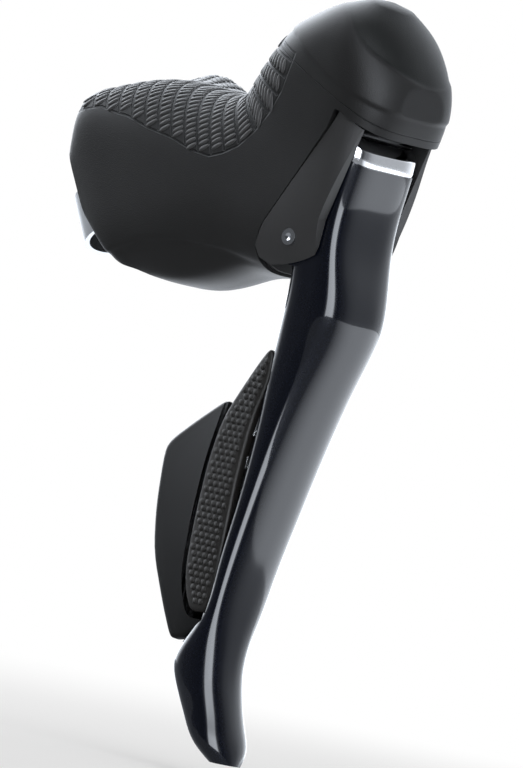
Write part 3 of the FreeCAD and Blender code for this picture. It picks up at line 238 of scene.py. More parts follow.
# Scales of the front button: rows, columns, share of the pitch across and along, distance to
# the edge, sink, directions, and length and width as shares of the pitch.
SCALE_ROWS = (-32, 12)
SCALE_COLUMNS = (-9, 3)
SCALE_PITCHES = (0.86, 0.78)
SCALE_EDGE = 1.15
SCALE_SINK = 0.06
SCALE_UP = (0.0, -1.0, 0.22)
SCALE_RUN = (-0.45, 0, 1.0)
SCALE_LENGTH = 0.98
SCALE_WIDTH = 0.74
FRONT_EYES = (-8.0, -38.0)
REAR_EYES = (-16.0, -30.0)


# Studio that glossy surfaces show: its wall's brightness by bearing in degrees from +X, and a
# softbox overhead.
STUDIO_WALL = (
    (-180.0, 1.2), (-160.0, 0.25), (-120.0, 0.08), (-68.0, 0.06), (-58.0, 0.4), (-48.0, 7.0),
    (-12.0, 8.0), (-2.0, 0.4), (8.0, 0.05), (30.0, 0.2), (50.0, 0.5), (70.0, 1.2), (95.0, 2.2),
    (120.0, 2.8), (140.0, 3.6), (165.0, 3.4), (180.0, 1.2),
)
STUDIO_ROOF = (-0.75, 0.05, 0.66)
STUDIO_ROOF_LEVEL = 5.0
# What the camera looks at, the way to it and its upward side.
VIEW_AIM = Vector((53.0, 0.0, -38.0))
VIEW_TOWARD = Vector((0.643, -0.766, 0.0))
VIEW_UPWARD = Vector((-0.159, -0.134, 0.978))
# Lamps: name, direction from the aim, distance, size and power.
LAMPS = (
    ("rear", (-1.0, -0.15, 0.6), 1.3, 0.8, 13.0),
    ("front", (1.0, -0.45, 0.35), 1.4, 0.9, 4.0),
)
FLOOR_RADIUS = 1200.0
FLOOR_DROP = 0.004
FLOOR_FADE = (0.22, 0.6)
COOL = (0.88, 0.93, 1.0, 1)
WHITE = (1, 1, 1, 1)


# ---------------------------------------------------------------- what a user may change

def length(name, description, millimetres):
    return FloatProperty(name=name, description=description, default=millimetres * MM,
                         subtype="DISTANCE", unit="LENGTH", precision=5)


def colour(name, description, value):
    return FloatVectorProperty(name=name, description=description, default=value,
                               subtype="COLOR", min=0.0, max=1.0)


class LeverSizes(bpy.types.PropertyGroup):
    hood_wall: length("Hood wall", "Thickness of the rubber hood", 2.1)
    rib_row: length("Rib row", "Distance between two rows of grip ribs", 4.0)
    rib_pitch: length("Rib pitch", "Distance between two ribs in a row", 1.36)
    rib_width: length("Rib width", "Width of a grip rib", 1.15)
    rib_height: length("Rib height", "Height of a grip rib above the hood", 0.34)
    scale_pitch: length("Scale pitch", "Distance between two scales of the front button", 2.0)
    scale_height: length("Scale height", "Height of a scale above the front button", 0.24)
    trim_bevel: length("Trim bevel", "Width of the trim's inward slope", 2.6)


class LeverColours(bpy.types.PropertyGroup):
    hood: colour("Hood", "Rubber of the hood", (0.0135, 0.0135, 0.0138))
    # Lighter tone of the raised ribs, which are the hood's rubber: a painted highlight on the
    # ribs.
    ribs: colour("Ribs", "Raised ribs of the grip", (0.045, 0.045, 0.046))
    # Darker tone of the smooth oval on the knob: a painted shade over the oval.
    knob: colour("Knob", "Smooth oval on the hood's knob", (0.005, 0.0055, 0.0052))
    bracket: colour("Bracket", "Resin of the bracket", (0.028, 0.028, 0.029))
    blade: colour("Blade", "Paint of the lever blade", (0.003, 0.0042, 0.0095))
    trim: colour("Trim", "Plated trim", (0.86, 0.86, 0.87))
    front_button: colour("Front button", "Resin of the front shift button", (0.014, 0.013, 0.012))
    rear_button: colour("Rear button", "Resin of the rear shift button", (0.006, 0.006, 0.0062))
    steel: colour("Steel", "Plated steel", (0.5, 0.51, 0.52))
    bright_steel: colour("Bright steel", "Polished steel", (0.74, 0.75, 0.77))
    black_steel: colour("Black steel", "Blackened screws", (0.04, 0.04, 0.043))
    aluminium: colour("Aluminium", "Machined aluminium", (0.62, 0.63, 0.65))
    seal: colour("Seal", "Soft seals and plugs", (0.045, 0.045, 0.046))
    switch: colour("Switch", "Resin of the switch housings", (0.032, 0.032, 0.034))
    bronze: colour("Bronze", "Sintered pivot bushes", (0.42, 0.27, 0.12))
    board: colour("Board", "Lacquered circuit board", (0.02, 0.13, 0.05))


class LeverStage(bpy.types.PropertyGroup):
    distance: FloatProperty(name="Camera distance", description="From the lens to the lever",
                            default=2.4, subtype="DISTANCE", unit="LENGTH")
    view_height: length("View height", "Height that the camera takes in", 182.9)
    fill: FloatProperty(name="Fill", description="Even light from all round", default=0.45)
    floor: colour("Floor", "Pale floor under the lever", (0.9, 0.9, 0.9))


def sizes():
    return bpy.context.scene.lever_sizes


def colours():
    return bpy.context.scene.lever_colours


# ---------------------------------------------------------------- curves and rings

def curve_through(knots, rows):
    """Function that gives the smooth curve through rows of numbers at their knots."""
    knots = np.asarray(knots, float)
    rows = np.asarray(rows, float)
    gaps = np.diff(knots)
    steps = np.diff(rows, axis=0) / gaps[:, None]
    matrix = np.eye(len(knots))
    pull = np.zeros_like(rows)
    for i in range(1, len(knots) - 1):
        matrix[i, i - 1:i + 2] = gaps[i - 1], 2 * (gaps[i - 1] + gaps[i]), gaps[i]
        pull[i] = 6 * (steps[i] - steps[i - 1])
    bend = np.linalg.solve(matrix, pull)

    def at(place):
        i = int(np.clip(np.searchsorted(knots, place) - 1, 0, len(gaps) - 1))
        a = (knots[i + 1] - place) / gaps[i]
        b = 1 - a
        curved = ((a ** 3 - a) * bend[i] + (b ** 3 - b) * bend[i + 1]) * gaps[i] ** 2 / 6
        return a * rows[i] + b * rows[i + 1] + curved

    return at


def oval(low, high, middle, half_width, squareness, count):
    """Closed ring round the line low-high in side view, evenly spaced, from its high end."""
    angle = np.linspace(0, 2 * math.pi, 721)
    power = 2.0 / squareness
    along = np.sign(np.cos(angle)) * np.abs(np.cos(angle)) ** power
    aside = np.sign(np.sin(angle)) * np.abs(np.sin(angle)) ** power
    low = np.asarray(low)
    high = np.asarray(high)
    centre = (low + high) / 2
    reach = (high - low) / 2
    ring = np.stack([centre[0] + reach[0] * along, middle + half_width * aside,
                     centre[1] + reach[1] * along], axis=1)
    return spread(ring, count)


def walked_along(line):
    """Distance walked to each point of a line of points."""
    return np.concatenate([[0], np.cumsum(np.linalg.norm(np.diff(line, axis=0), axis=1))])


def spread(line, count):
    """Points at even distances along a closed line of points."""
    walked = walked_along(line)
    places = np.linspace(0, walked[-1], count, endpoint=False)
    return np.stack([np.interp(places, walked, line[:, k]) for k in range(line.shape[1])], axis=1)


def side_distance(x, z, outline):
    """Distance to a closed outline in side view, negative inside it."""
    best = np.full(np.shape(x), 1e9)
    inside = np.zeros(np.shape(x), bool)
    for (ax, az), (bx, bz) in zip(outline, outline[1:] + outline[:1]):
        dx, dz = bx - ax, bz - az
        share = np.clip(((x - ax) * dx + (z - az) * dz) / (dx * dx + dz * dz), 0, 1)
        best = np.minimum(best, np.hypot(x - ax - share * dx, z - az - share * dz))
        if dz:
            crosses = ((az > z) != (bz > z)) & (x < ax + (z - az) * dx / dz)
            inside ^= crosses
    return np.where(inside, -best, best)


def above_line(x, z, line):
    """Distance to an open line in side view, positive above it or behind its rising end."""
    outline = tuple(line) + ((line[-1][0], 200.0), (line[0][0], 200.0))
    return -side_distance(x, z, outline)


def ramp(value, low, high):
    """Smooth step from 0 to 1."""
    share = np.clip((value - low) / (high - low), 0, 1)
    return share * share * (3 - 2 * share)


def rounded(corners, passes=2, share=0.2):
    """Closed outline with its corners cut back again and again."""
    line = np.asarray(corners, float)
    for _ in range(passes):
        ahead = np.roll(line, -1, axis=0)
        line = np.stack([line + (ahead - line) * share, ahead - (ahead - line) * share],
                        axis=1).reshape(-1, line.shape[1])
    return line


def off_axis(points, start, lean):
    """Places along an axis that leans back from +Z, and distances from it."""
    turn = math.radians(lean)
    axis = np.array((-math.sin(turn), 0, math.cos(turn)))
    local = points - np.array(start)
    along = local @ axis
    return along, np.linalg.norm(local - np.outer(along, axis), axis=1)


def off_bar(points):
    return off_axis(points, (0.0, 0.0, 0.0), BAR_LEAN)[1] - BAR_RADIUS


def inside_box(points):
    """Points in millimetres kept within the part's own box."""
    low, high = (np.array(corner) / MM for corner in CAD_BOX)
    return np.clip(points, low + BOX_MARGIN, high - BOX_MARGIN)


def upright_box(low, high):
    """Outline of an upright rectangle between two corners."""
    return ((low[0], low[1]), (high[0], low[1]), (high[0], high[1]), (low[0], high[1]))


# ---------------------------------------------------------------- meshes

def new_piece(name, mesh):
    thing = bpy.data.objects.new(name, mesh)
    bpy.context.scene.collection.objects.link(thing)
    return thing


def ring_mesh(name, rings, tips=(None, None)):
    """Skin over a stack of rings in millimetres, closed at an end where a tip is given."""
    count = rings.shape[1]
    verts = [tuple(point) for point in rings.reshape(-1, 3) * MM]
    faces = []
    for row in range(rings.shape[0] - 1):
        for step in range(count):
            ahead = (step + 1) % count
            a, b = row * count + step, row * count + ahead
            faces.append((a, a + count, b + count, b))
    for end, tip in enumerate(tips):
        if tip is None:
            continue
        first = end * (rings.shape[0] - 1) * count
        verts.append(tuple(np.asarray(tip) * MM))
        for step in range(count):
            edge = (first + step, first + (step + 1) % count)
            faces.append((len(verts) - 1,) + (edge if not end else edge[::-1]))
    mesh = bpy.data.meshes.new(name)
    mesh.from_pydata(verts, [], faces)
    return mesh


def tube_faces(count):
    """Faces of a closed tube between two rings of as many points."""
    ends = [tuple(range(count)), tuple(range(2 * count - 1, count - 1, -1))]
    return ends + [(i, i + count, (i + 1) % count + count, (i + 1) % count) for i in range(count)]


def prism(name, outline, low, high, place=None):
    """Closed prism of a side-view outline in millimetres between two depths along Y."""
    verts = [(x * MM, depth * MM, z * MM) for depth in (low, high) for x, z in outline]
    mesh = bpy.data.meshes.new(name)
    mesh.from_pydata(verts, [], tube_faces(len(outline)))
    if place is not None:
        mesh.transform(place)
    face_outward(mesh)
    return mesh


def face_outward(mesh):
    work = bmesh.new()
    work.from_mesh(mesh)
    bmesh.ops.remove_doubles(work, verts=work.verts, dist=1e-7)
    bmesh.ops.recalc_face_normals(work, faces=work.faces)
    work.to_mesh(mesh)
    work.free()


def disc_outline(radius, x=0.0, z=0.0, count=48):
    turn = 2 * math.pi / count
    return tuple((x + radius * math.cos(i * turn), z + radius * math.sin(i * turn))
                 for i in range(count))


def from_pivot(points):
    return tuple((PIVOT.x + x, PIVOT.z + z) for x, z in points)


def clip(work, distance):
    """Cut a bmesh where a function of place crosses zero and drop its negative side."""
    work.verts.ensure_lookup_table()
    places = np.array([vert.co for vert in work.verts]) / MM
    value = dict(zip(work.verts, distance(places)))
    fresh = set()
    for edge in list(work.edges):
        a, b = edge.verts
        if (value[a] > 0) != (value[b] > 0):
            share = value[a] / (value[a] - value[b])
            fresh.add(bmesh.utils.edge_split(edge, a, min(max(share, 0.02), 0.98))[1])
    for face in list(work.faces):
        ends = [vert for vert in face.verts if vert in fresh]
        if len(ends) == 2:
            bmesh.utils.face_split(face, ends[0], ends[1])
    lost = []
    for face in work.faces:
        known = [value[vert] for vert in face.verts if vert not in fresh]
        if known and sum(known) <= 0:
            lost.append(face)
    bmesh.ops.delete(work, geom=lost, context="FACES")


def settle(thing, sharp=None):
    """Turn a piece with its modifiers into a plain mesh, smooth except at sharp edges."""
    bpy.context.view_layer.update()
    seen = thing.evaluated_get(bpy.context.evaluated_depsgraph_get())
    mesh = bpy.data.meshes.new_from_object(seen)
    thing.modifiers.clear()
    thing.data = mesh
    mesh.shade_smooth()
    if sharp:
        mesh.set_sharp_from_angle(angle=math.radians(sharp))
    return thing


def carve(thing, steps):
    """Add or cut meshes one after another: steps are (operation, meshes)."""
    tools, groups = [], []
    for operation, meshes in steps:
        group = bpy.data.collections.new("tools")
        bpy.context.scene.collection.children.link(group)
        groups.append(group)
        for mesh in meshes:
            tools.append(bpy.data.objects.new(mesh.name, mesh))
            group.objects.link(tools[-1])
        change = thing.modifiers.new(operation, "BOOLEAN")
        change.operation = operation
        change.solver = "EXACT"
        change.operand_type = "COLLECTION"
        change.collection = group
    settle(thing)
    for tool in tools:
        bpy.data.objects.remove(tool)
    for group in groups:
        bpy.data.collections.remove(group)


def join(name, meshes):
    """One mesh of several."""
    work = bmesh.new()
    for mesh in meshes:
        work.from_mesh(mesh)
    whole = bpy.data.meshes.new(name)
    work.to_mesh(whole)
    work.free()
    return whole


def finish_piece(thing, body, slot, *nodes):
    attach(thing, body)
    if nodes:
        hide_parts(*nodes)
    return thing


# ---------------------------------------------------------------- node helpers

def new_tree(kind, name, inputs, outputs):
    """Node group with named sockets: (name, type, default)."""
    tree = bpy.data.node_groups.new(name, kind)
    for direction, sockets in (("INPUT", inputs), ("OUTPUT", outputs)):
        for label, socket_type, default in sockets:
            socket = tree.interface.new_socket(label, in_out=direction, socket_type=socket_type)
            if default is not None:
                socket.default_value = default
    return tree


def add(tree, kind, links=None, **settings):
    """Node with its settings, and its inputs linked from sockets or set to values."""
    node = tree.nodes.new(kind)
    for key, value in settings.items():
        setattr(node, key, value)
    for key, value in (links or {}).items():
        if isinstance(value, bpy.types.NodeSocket):
            tree.links.new(value, node.inputs[key])
        else:
            node.inputs[key].default_value = value
    return node


def math_node(tree, operation, first, second=0.0):
    return add(tree, "ShaderNodeMath", {0: first, 1: second}, operation=operation).outputs[0]


def map_range(tree, value, from_min, from_max, to_min=0.0, to_max=1.0, **settings):
    return add(tree, "ShaderNodeMapRange", {
        "Value": value, "From Min": from_min, "From Max": from_max, "To Min": to_min,
        "To Max": to_max}, **settings).outputs[0]


def grain_group():
    """Fine moulded grain: colour, roughness and height over a surface."""
    known = bpy.data.node_groups.get("moulded_grain")
    if known:
        return known
    tree = new_tree("ShaderNodeTree", "moulded_grain", (
        ("Colour", "NodeSocketColor", (0.03, 0.03, 0.03, 1)),
        ("Colour Spread", "NodeSocketFloat", 0.15),
        ("Grain Size", "NodeSocketFloat", 0.3),
        ("Roughness", "NodeSocketFloat", 0.5),
        ("Roughness Spread", "NodeSocketFloat", 0.08),
    ), (
        ("Colour", "NodeSocketColor", None), ("Roughness", "NodeSocketFloat", None),
        ("Height", "NodeSocketFloat", None),
    ))
    given = tree.nodes.new("NodeGroupInput")
    out = tree.nodes.new("NodeGroupOutput")
    place = add(tree, "ShaderNodeTexCoord").outputs["Object"]
    scale = math_node(tree, "DIVIDE", 1000.0, given.outputs["Grain Size"])
    fine = add(tree, "ShaderNodeTexNoise", {"Vector": place, "Scale": scale, "Detail": 3.0})
    broad = add(tree, "ShaderNodeTexNoise", {"Vector": place, "Scale": 55.0, "Detail": 4.0})
    pores = add(tree, "ShaderNodeTexVoronoi", {"Vector": place, "Scale": scale})
    spots = math_node(tree, "SUBTRACT", fine.outputs["Fac"], 0.5)
    drift = math_node(tree, "SUBTRACT", broad.outputs["Fac"], 0.5)
    mixed = math_node(tree, "ADD", spots, drift)
    spread_by = math_node(tree, "MULTIPLY", mixed, given.outputs["Colour Spread"])
    bright = math_node(tree, "MULTIPLY_ADD", spread_by, 2.0)
    bright.node.inputs[2].default_value = 1.0
    tone = add(tree, "ShaderNodeVectorMath", {0: given.outputs["Colour"]}, operation="SCALE")
    tree.links.new(bright, tone.inputs["Scale"])
    tree.links.new(tone.outputs[0], out.inputs["Colour"])
    rough = math_node(tree, "MULTIPLY", drift, given.outputs["Roughness Spread"])
    rough = math_node(tree, "MULTIPLY_ADD", rough, 2.0)
    tree.links.new(given.outputs["Roughness"], rough.node.inputs[2])
    tree.links.new(rough, out.inputs["Roughness"])
    height = math_node(tree, "MULTIPLY_ADD", pores.outputs["Distance"], 0.5)
    tree.links.new(fine.outputs["Fac"], height.node.inputs[2])
    tree.links.new(height, out.inputs["Height"])
    return tree


def shader(name, tint, roughness, metallic=0.0, grain=0.3, bump=0.02, spread_by=0.15,
           rough_spread=0.08, **constants):
    """Material whose colour, roughness and height come from the grain group."""
    material = bpy.data.materials.new(name)
    material.use_nodes = True
    tree = material.node_tree
    surface = tree.nodes["Principled BSDF"]
    surface.inputs["Metallic"].default_value = metallic
    for key, value in constants.items():
        surface.inputs[key.replace("_", " ").title().replace("Ior", "IOR")].default_value = value
    texture = add(tree, "ShaderNodeGroup", node_tree=grain_group())
    texture.inputs["Colour"].default_value = (*tint, 1)
    texture.inputs["Colour Spread"].default_value = spread_by
    texture.inputs["Grain Size"].default_value = grain
    texture.inputs["Roughness"].default_value = roughness
    texture.inputs["Roughness Spread"].default_value = rough_spread
    tree.links.new(texture.outputs["Colour"], surface.inputs["Base Color"])
    tree.links.new(texture.outputs["Roughness"], surface.inputs["Roughness"])
    relief = add(tree, "ShaderNodeBump", {"Height": texture.outputs["Height"]})
    relief.inputs["Distance"].default_value = bump * MM
    tree.links.new(relief.outputs["Normal"], surface.inputs["Normal"])
    return material


def wear(nodes, material):
    """Give CAD nodes a material."""
    for node in nodes:
        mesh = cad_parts[node].data
        mesh.materials.clear()
        mesh.materials.append(material)


# ---------------------------------------------------------------- hood

class HoodForm:
    """The hood's outer surface, as rings along its length."""

    def __init__(self):
        stations = np.array(HOOD_STATIONS)
        middles = (stations[:, 0:2] + stations[:, 2:4]) / 2
        self.knots = walked_along(middles)
        self.section = curve_through(self.knots, stations)

    def ring(self, along, count=HOOD_SPOKES):
        x1, z1, x2, z2, half_width, squareness = self.section(along)
        return shaped(oval((x1, z1), (x2, z2), 0.0, half_width, squareness, count))


def shaped(points):
    """The hood's smaller forms: hump, underside, knob and its oval, as moved points."""
    x, y, z = points.T
    centre = points.mean(axis=0)
    away = points - centre
    away /= np.linalg.norm(away, axis=1)[:, None]
    aside = ((x - HUMP_PLACE[0]) / HUMP_REACH[0]) ** 2 + ((y - HUMP_PLACE[1]) / HUMP_REACH[1]) ** 2
    hump = HUMP_HEIGHT * np.exp(-aside) * (z > HUMP_FLOOR)
    tuck = -TUCK * ramp(-above_line(x, z, UNDER_EDGE), *TUCK_BELOW)
    tuck *= ramp(np.abs(y), *TUCK_ASIDE) * ramp(x, *TUCK_FROM) * ramp(-x, *TUCK_UNTIL)
    knob = KNOB_SWELL * ramp(above_line(x, z, KNOB_EDGE), *KNOB_SOFT)
    knob -= OVAL_SINK * ramp(oval_zone(x, y, z), *OVAL_SOFT)
    moved = points + away * (tuck + knob)[:, None] + np.outer(hump, (0, 0, 1))
    return inside_box(moved)


def oval_zone(x, y, z):
    """The smooth oval over the knob: positive inside."""
    ahead, up = x - OVAL_PLACE[0], z - OVAL_PLACE[2]
    along = OVAL_RUN[0] * ahead + OVAL_RUN[1] * up
    reach = 1 - np.hypot(along / OVAL_REACH[0], (y - OVAL_PLACE[1]) / OVAL_REACH[1])
    return np.where((z > OVAL_FLOOR) & (np.hypot(ahead, up) < OVAL_FAR), reach, -1.0)


def grip_distance(x, z):
    """Distance inside the edge of the ribbed grip, in side view."""
    to_knob = (GRIP_END[1] - z) + (GRIP_END[0] - x) * GRIP_END_SLOPE
    return np.minimum(above_line(x, z, GRIP_EDGE), to_knob)


def make_hood():
    form = HoodForm()
    places = np.linspace(form.knots[0], form.knots[-1], HOOD_RINGS)
    rings = np.array([form.ring(place) for place in places])
    mesh = ring_mesh("hood_skin", rings, (None, HOOD_TIP))
    row_at = mesh.attributes.new("row", "FLOAT", "POINT")
    rows = np.append(np.repeat(row_count(form, places), HOOD_SPOKES), ROW_AT_TIP)
    row_at.data.foreach_set("value", rows.astype(np.float32))
    work = bmesh.new()
    work.from_mesh(mesh)
    clip(work, lambda p: side_distance(p[:, 0], p[:, 2], EAR_OPENING))
    clip(work, off_bar)

    def casing(p):
        along, aside = off_axis(p, CASING_MOUTH, CASING_LEAN)
        return np.maximum(aside - CASING_HOLE, -CASING_REACH - along)

    clip(work, casing)
    work.to_mesh(mesh)
    work.free()
    mark_hood(mesh)
    hood = new_piece("hood_skin", mesh)
    wall = hood.modifiers.new("wall", "SOLIDIFY")
    wall.thickness = sizes().hood_wall
    wall.offset = -1
    settle(hood, 50)
    hood.data.materials.append(hood_material())
    return finish_piece(hood, "bracket", "hood_rubber", "hood_cover")


def row_count(form, places):
    """Number of rib rows passed on the way to each place along the hood."""
    fine = np.linspace(form.knots[0], form.knots[-1], FINE_PLACES)
    sections = np.array([form.section(place) for place in fine])
    low, top = sections[:, 0:2], sections[:, 2:4]
    walked = walked_along(low + (top - low) * GRIP_LEVEL)
    return np.interp(places, fine, walked * MM / sizes().rib_row)


def mark_hood(mesh):
    """Distances that the hood's finish and its painted shade follow, in millimetres."""
    co = np.empty(len(mesh.vertices) * 3)
    mesh.vertices.foreach_get("co", co)
    x, y, z = (co.reshape(-1, 3) / MM).T
    slope = math.radians(RIM_FALL)
    rim = (z - RIM_PLACE[1]) * math.cos(slope) + (x - RIM_PLACE[0]) * math.sin(slope)
    for name, value in (("grip", grip_distance(x, z)), ("rim", rim),
                        ("oval", oval_zone(x, y, z) * OVAL_SCALE)):
        store = mesh.attributes.new(name, "FLOAT", "POINT")
        store.data.foreach_set("value", value.astype(np.float32))


def line_mask(tree, value, middle, half_width, soft):
    """1 on a line where a distance is near a value, 0 away from it."""
    off = math_node(tree, "ABSOLUTE", math_node(tree, "SUBTRACT", value, middle))
    return map_range(tree, off, half_width + soft, half_width)


def hood_material():
    material = shader("hood_rubber", colours().hood, 0.5, grain=0.28, bump=0.035, spread_by=0.1,
                      Specular_IOR_Level=0.28)
    tree = material.node_tree
    surface = tree.nodes["Principled BSDF"]
    texture = surface.inputs["Base Color"].links[0].from_node
    relief = surface.inputs["Normal"].links[0].from_node

    def attribute(name):
        return add(tree, "ShaderNodeAttribute", attribute_name=name).outputs["Fac"]

    grip = attribute("grip")
    inside = map_range(tree, grip, -0.1, 0.3)
    row = math_node(tree, "FRACT", attribute("row"))
    # Grooves between rib rows, the grip's seam and the parting line: sunk by a bump and painted
    # near-black, a painted shade in the recesses.
    groove = math_node(tree, "MULTIPLY", line_mask(tree, row, *ROW_GROOVE), inside)
    seam = line_mask(tree, grip, *GRIP_SEAM)
    parting = line_mask(tree, attribute("rim"), *PARTING_LINE)
    groove_shade = math_node(tree, "MAXIMUM", math_node(tree, "MAXIMUM", groove, seam), parting)
    # The smooth oval over the knob takes the darker knob tone: a painted shade over the oval.
    oval_inside = map_range(tree, attribute("oval"), -0.25, 0.25)
    oval_shade_mix = add(tree, "ShaderNodeMix", {"Factor": oval_inside}, data_type="RGBA")
    tree.links.new(texture.outputs["Colour"], oval_shade_mix.inputs[6])
    oval_shade_mix.inputs[7].default_value = (*colours().knob, 1)
    groove_shaded = add(tree, "ShaderNodeMix", {"Factor": groove_shade}, data_type="RGBA")
    tree.links.new(oval_shade_mix.outputs[2], groove_shaded.inputs[6])
    groove_shaded.inputs[7].default_value = GROOVE_SHADE_TONE
    tree.links.new(groove_shaded.outputs[2], surface.inputs["Base Color"])
    depth = math_node(tree, "MULTIPLY_ADD", groove_shade, LINE_DEPTH)
    tree.links.new(texture.outputs["Height"], depth.node.inputs[2])
    tree.links.new(depth, relief.inputs["Height"])
    return material


def make_ribs():
    """Grip ribs: one on each place of a staggered lattice over the hood's top."""
    form = HoodForm()
    fine = np.linspace(form.knots[0], form.knots[-1], FINE_PLACES)
    rows_at = row_count(form, fine)
    ribs = []
    for row in range(int(rows_at[0]), int(rows_at[-1]) + 1):
        if not rows_at[0] < row + 1.0 < rows_at[-1]:
            continue
        place = np.interp(row + 1.0, rows_at, fine)
        ahead = np.interp(row + 1.0 + RIB_SPAN, rows_at, fine)
        here, there = form.ring(place, RIB_SPOKES), form.ring(ahead, RIB_SPOKES)
        around = np.linalg.norm(np.diff(here, axis=0, append=here[:1]), axis=1)
        reach = around.sum()
        pitch = sizes().rib_pitch / MM
        half = int(reach / 2 / pitch)
        walked = np.cumsum(around) - around
        for step in range(-half, half):
            spot = (step + 0.5 * (row % 2)) * pitch
            index = int(np.searchsorted(walked, spot % reach)) % len(here)
            point = here[index]
            slant = int(round(RIB_SLANT * np.sign(spot) * -1 / reach * len(here)))
            run = there[(index + slant) % len(here)] - point
            aside = here[(index + 1) % len(here)] - here[index - 1]
            up = np.cross(run, aside)
            up /= np.linalg.norm(up)
            ribs.append((point, up, run))
    points = np.array([rib[0] for rib in ribs])
    grip = grip_distance(points[:, 0], points[:, 2])
    clear = off_bar(points)
    keep = [i for i in range(len(ribs)) if grip[i] > RIB_EDGE and clear[i] > RIB_BAR_GAP]
    mesh = bpy.data.meshes.new("grip_ribs")
    mesh.from_pydata([tuple(points[i] * MM) for i in keep], [], [])
    for name, column in (("up", 1), ("run", 2)):
        store = mesh.attributes.new(name, "FLOAT_VECTOR", "POINT")
        ways = np.array([ribs[i][column] for i in keep], np.float32)
        store.data.foreach_set("vector", ways.ravel())
    longness = mesh.attributes.new("reach", "FLOAT", "POINT")
    run = np.array([np.linalg.norm(ribs[i][2]) / RIB_SPAN for i in keep], np.float32)
    longness.data.foreach_set("value", run * RIB_SHARE * MM)
    guide = new_piece("grip_ribs", mesh)
    # The ribs are the hood's rubber, given a lighter tone: a painted highlight on the raised ribs.
    material = shader("grip_ribs", colours().ribs, 0.5, grain=0.25, bump=0.02, spread_by=0.35,
                      Specular_IOR_Level=0.45)
    scatter(guide, material, sizes().rib_width, sizes().rib_height)
    return finish_piece(guide, "bracket", "hood_rubber")


def scatter(guide, material, width, height):
    """Turn a cloud of marked points into low rounded bumps lying on the surface."""
    tree = new_tree("GeometryNodeTree", "bumps_on_" + guide.name, (
        ("Geometry", "NodeSocketGeometry", None), ("Width", "NodeSocketFloat", 0.001),
        ("Height", "NodeSocketFloat", 0.0003),
    ), (("Geometry", "NodeSocketGeometry", None),))
    given = tree.nodes.new("NodeGroupInput")
    out = tree.nodes.new("NodeGroupOutput")
    points = add(tree, "GeometryNodeMeshToPoints", {"Mesh": given.outputs["Geometry"]})
    bump = add(tree, "GeometryNodeMeshUVSphere", {"Segments": 10, "Rings": 6, "Radius": 0.5})

    def named(label, kind):
        node = add(tree, "GeometryNodeInputNamedAttribute", {"Name": label}, data_type=kind)
        return node.outputs["Attribute"]

    stand = add(tree, "FunctionNodeAlignRotationToVector", {"Vector": named("up", "FLOAT_VECTOR")},
                axis="Z")
    turn = add(tree, "FunctionNodeAlignRotationToVector",
               {"Rotation": stand.outputs[0], "Vector": named("run", "FLOAT_VECTOR")},
               axis="X", pivot_axis="Z")
    size = add(tree, "ShaderNodeCombineXYZ", {"X": named("reach", "FLOAT"),
                                              "Y": given.outputs["Width"]})
    double = math_node(tree, "MULTIPLY", given.outputs["Height"], 2.0)
    tree.links.new(double, size.inputs["Z"])
    placed = add(tree, "GeometryNodeInstanceOnPoints", {
        "Points": points.outputs[0], "Instance": bump.outputs["Mesh"],
        "Rotation": turn.outputs[0], "Scale": size.outputs[0]})
    real = add(tree, "GeometryNodeRealizeInstances", {"Geometry": placed.outputs[0]})
    finish = add(tree, "GeometryNodeSetMaterial", {"Geometry": real.outputs[0]})
    finish.inputs["Material"].default_value = material
    tree.links.new(finish.outputs[0], out.inputs["Geometry"])
    grow = guide.modifiers.new("bumps", "NODES")
    grow.node_group = tree
    inputs = {item.name: item.identifier for item in tree.interface.items_tree
              if item.in_out == "INPUT"}
    grow[inputs["Width"]] = width
    grow[inputs["Height"]] = height
    settle(guide)


# ---------------------------------------------------------------- blade and trim

def blade_rings(heights, count=BLADE_SPOKES):
    stations = np.array(BLADE_STATIONS)
    section = curve_through(-stations[:, 0], stations[:, 1:])
    rings = []
    for height in heights:
        front, rear, middle, half_width, squareness = section(-height)
        level = PIVOT.z + height
        rings.append(oval((PIVOT.x + rear, level), (PIVOT.x + front, level), middle, half_width,
                          squareness, count))
    return inside_box(np.array(rings))


def button_place():
    turn = Matrix.Rotation(math.radians(-BUTTON_LEAN), 4, "X")
    return Matrix.Translation(BUTTON_ORIGIN * MM) @ turn


def make_blade():
    heights = np.linspace(BLADE_STATIONS[0][0], BLADE_STATIONS[-1][0], BLADE_RINGS)
    rings = blade_rings(heights)
    tip = inside_box(rings[-1].mean(axis=0) + np.array((0.3, 0, -0.25)))
    mesh = ring_mesh("blade_shell", rings, (rings[0].mean(axis=0), tip))
    blade = new_piece("blade_shell", mesh)
    half_room = HALF_BLADE - BLADE_WALL
    pivot = (PIVOT.x, PIVOT.z)
    far = TOOL_REACH
    place = button_place()
    above = from_pivot(upright_box((-30.0, BLADE_TOP), (40.0, 70.0)))
    plate = tuple(map(tuple, widened(FRONT_BUTTON, BUTTON_GAP)))
    fin = tuple(map(tuple, widened(REAR_BUTTON, BUTTON_GAP)))
    inner = half_room + WEB_OVERLAP
    carve(blade, (
        ("UNION", (prism("eye", disc_outline(HUB_RADIUS, *pivot), -HALF_BLADE, HALF_BLADE),)),
        ("DIFFERENCE", (
            prism("above", above, -far, far),
            prism("trim_room", from_pivot(TRIM_FOOT + ((22.0, 40.0),)), -far, far),
            prism("channel", from_pivot(CHANNEL), -half_room, half_room),
            prism("bore", disc_outline(BUSH_BORE, *pivot), -far, far),
            prism("front_room", plate, -BUTTON_ROOM, PLATE + BUTTON_GAP, place),
            prism("rear_room", fin, -BUTTON_ROOM, PIN_DEPTH, place),
            prism("base_room", upright_box(*BASE_ROOM), *BASE_DEPTH, place),
        )),
        ("UNION", (prism("web", from_pivot(WEB), -inner, inner),)),
    ))
    blade.data.materials.clear()
    blade.data.materials.append(paint_material())
    blade.data.shade_smooth()
    blade.data.set_sharp_from_angle(angle=math.radians(38))
    return finish_piece(blade, "lever", "blade_paint", "lever_blade")


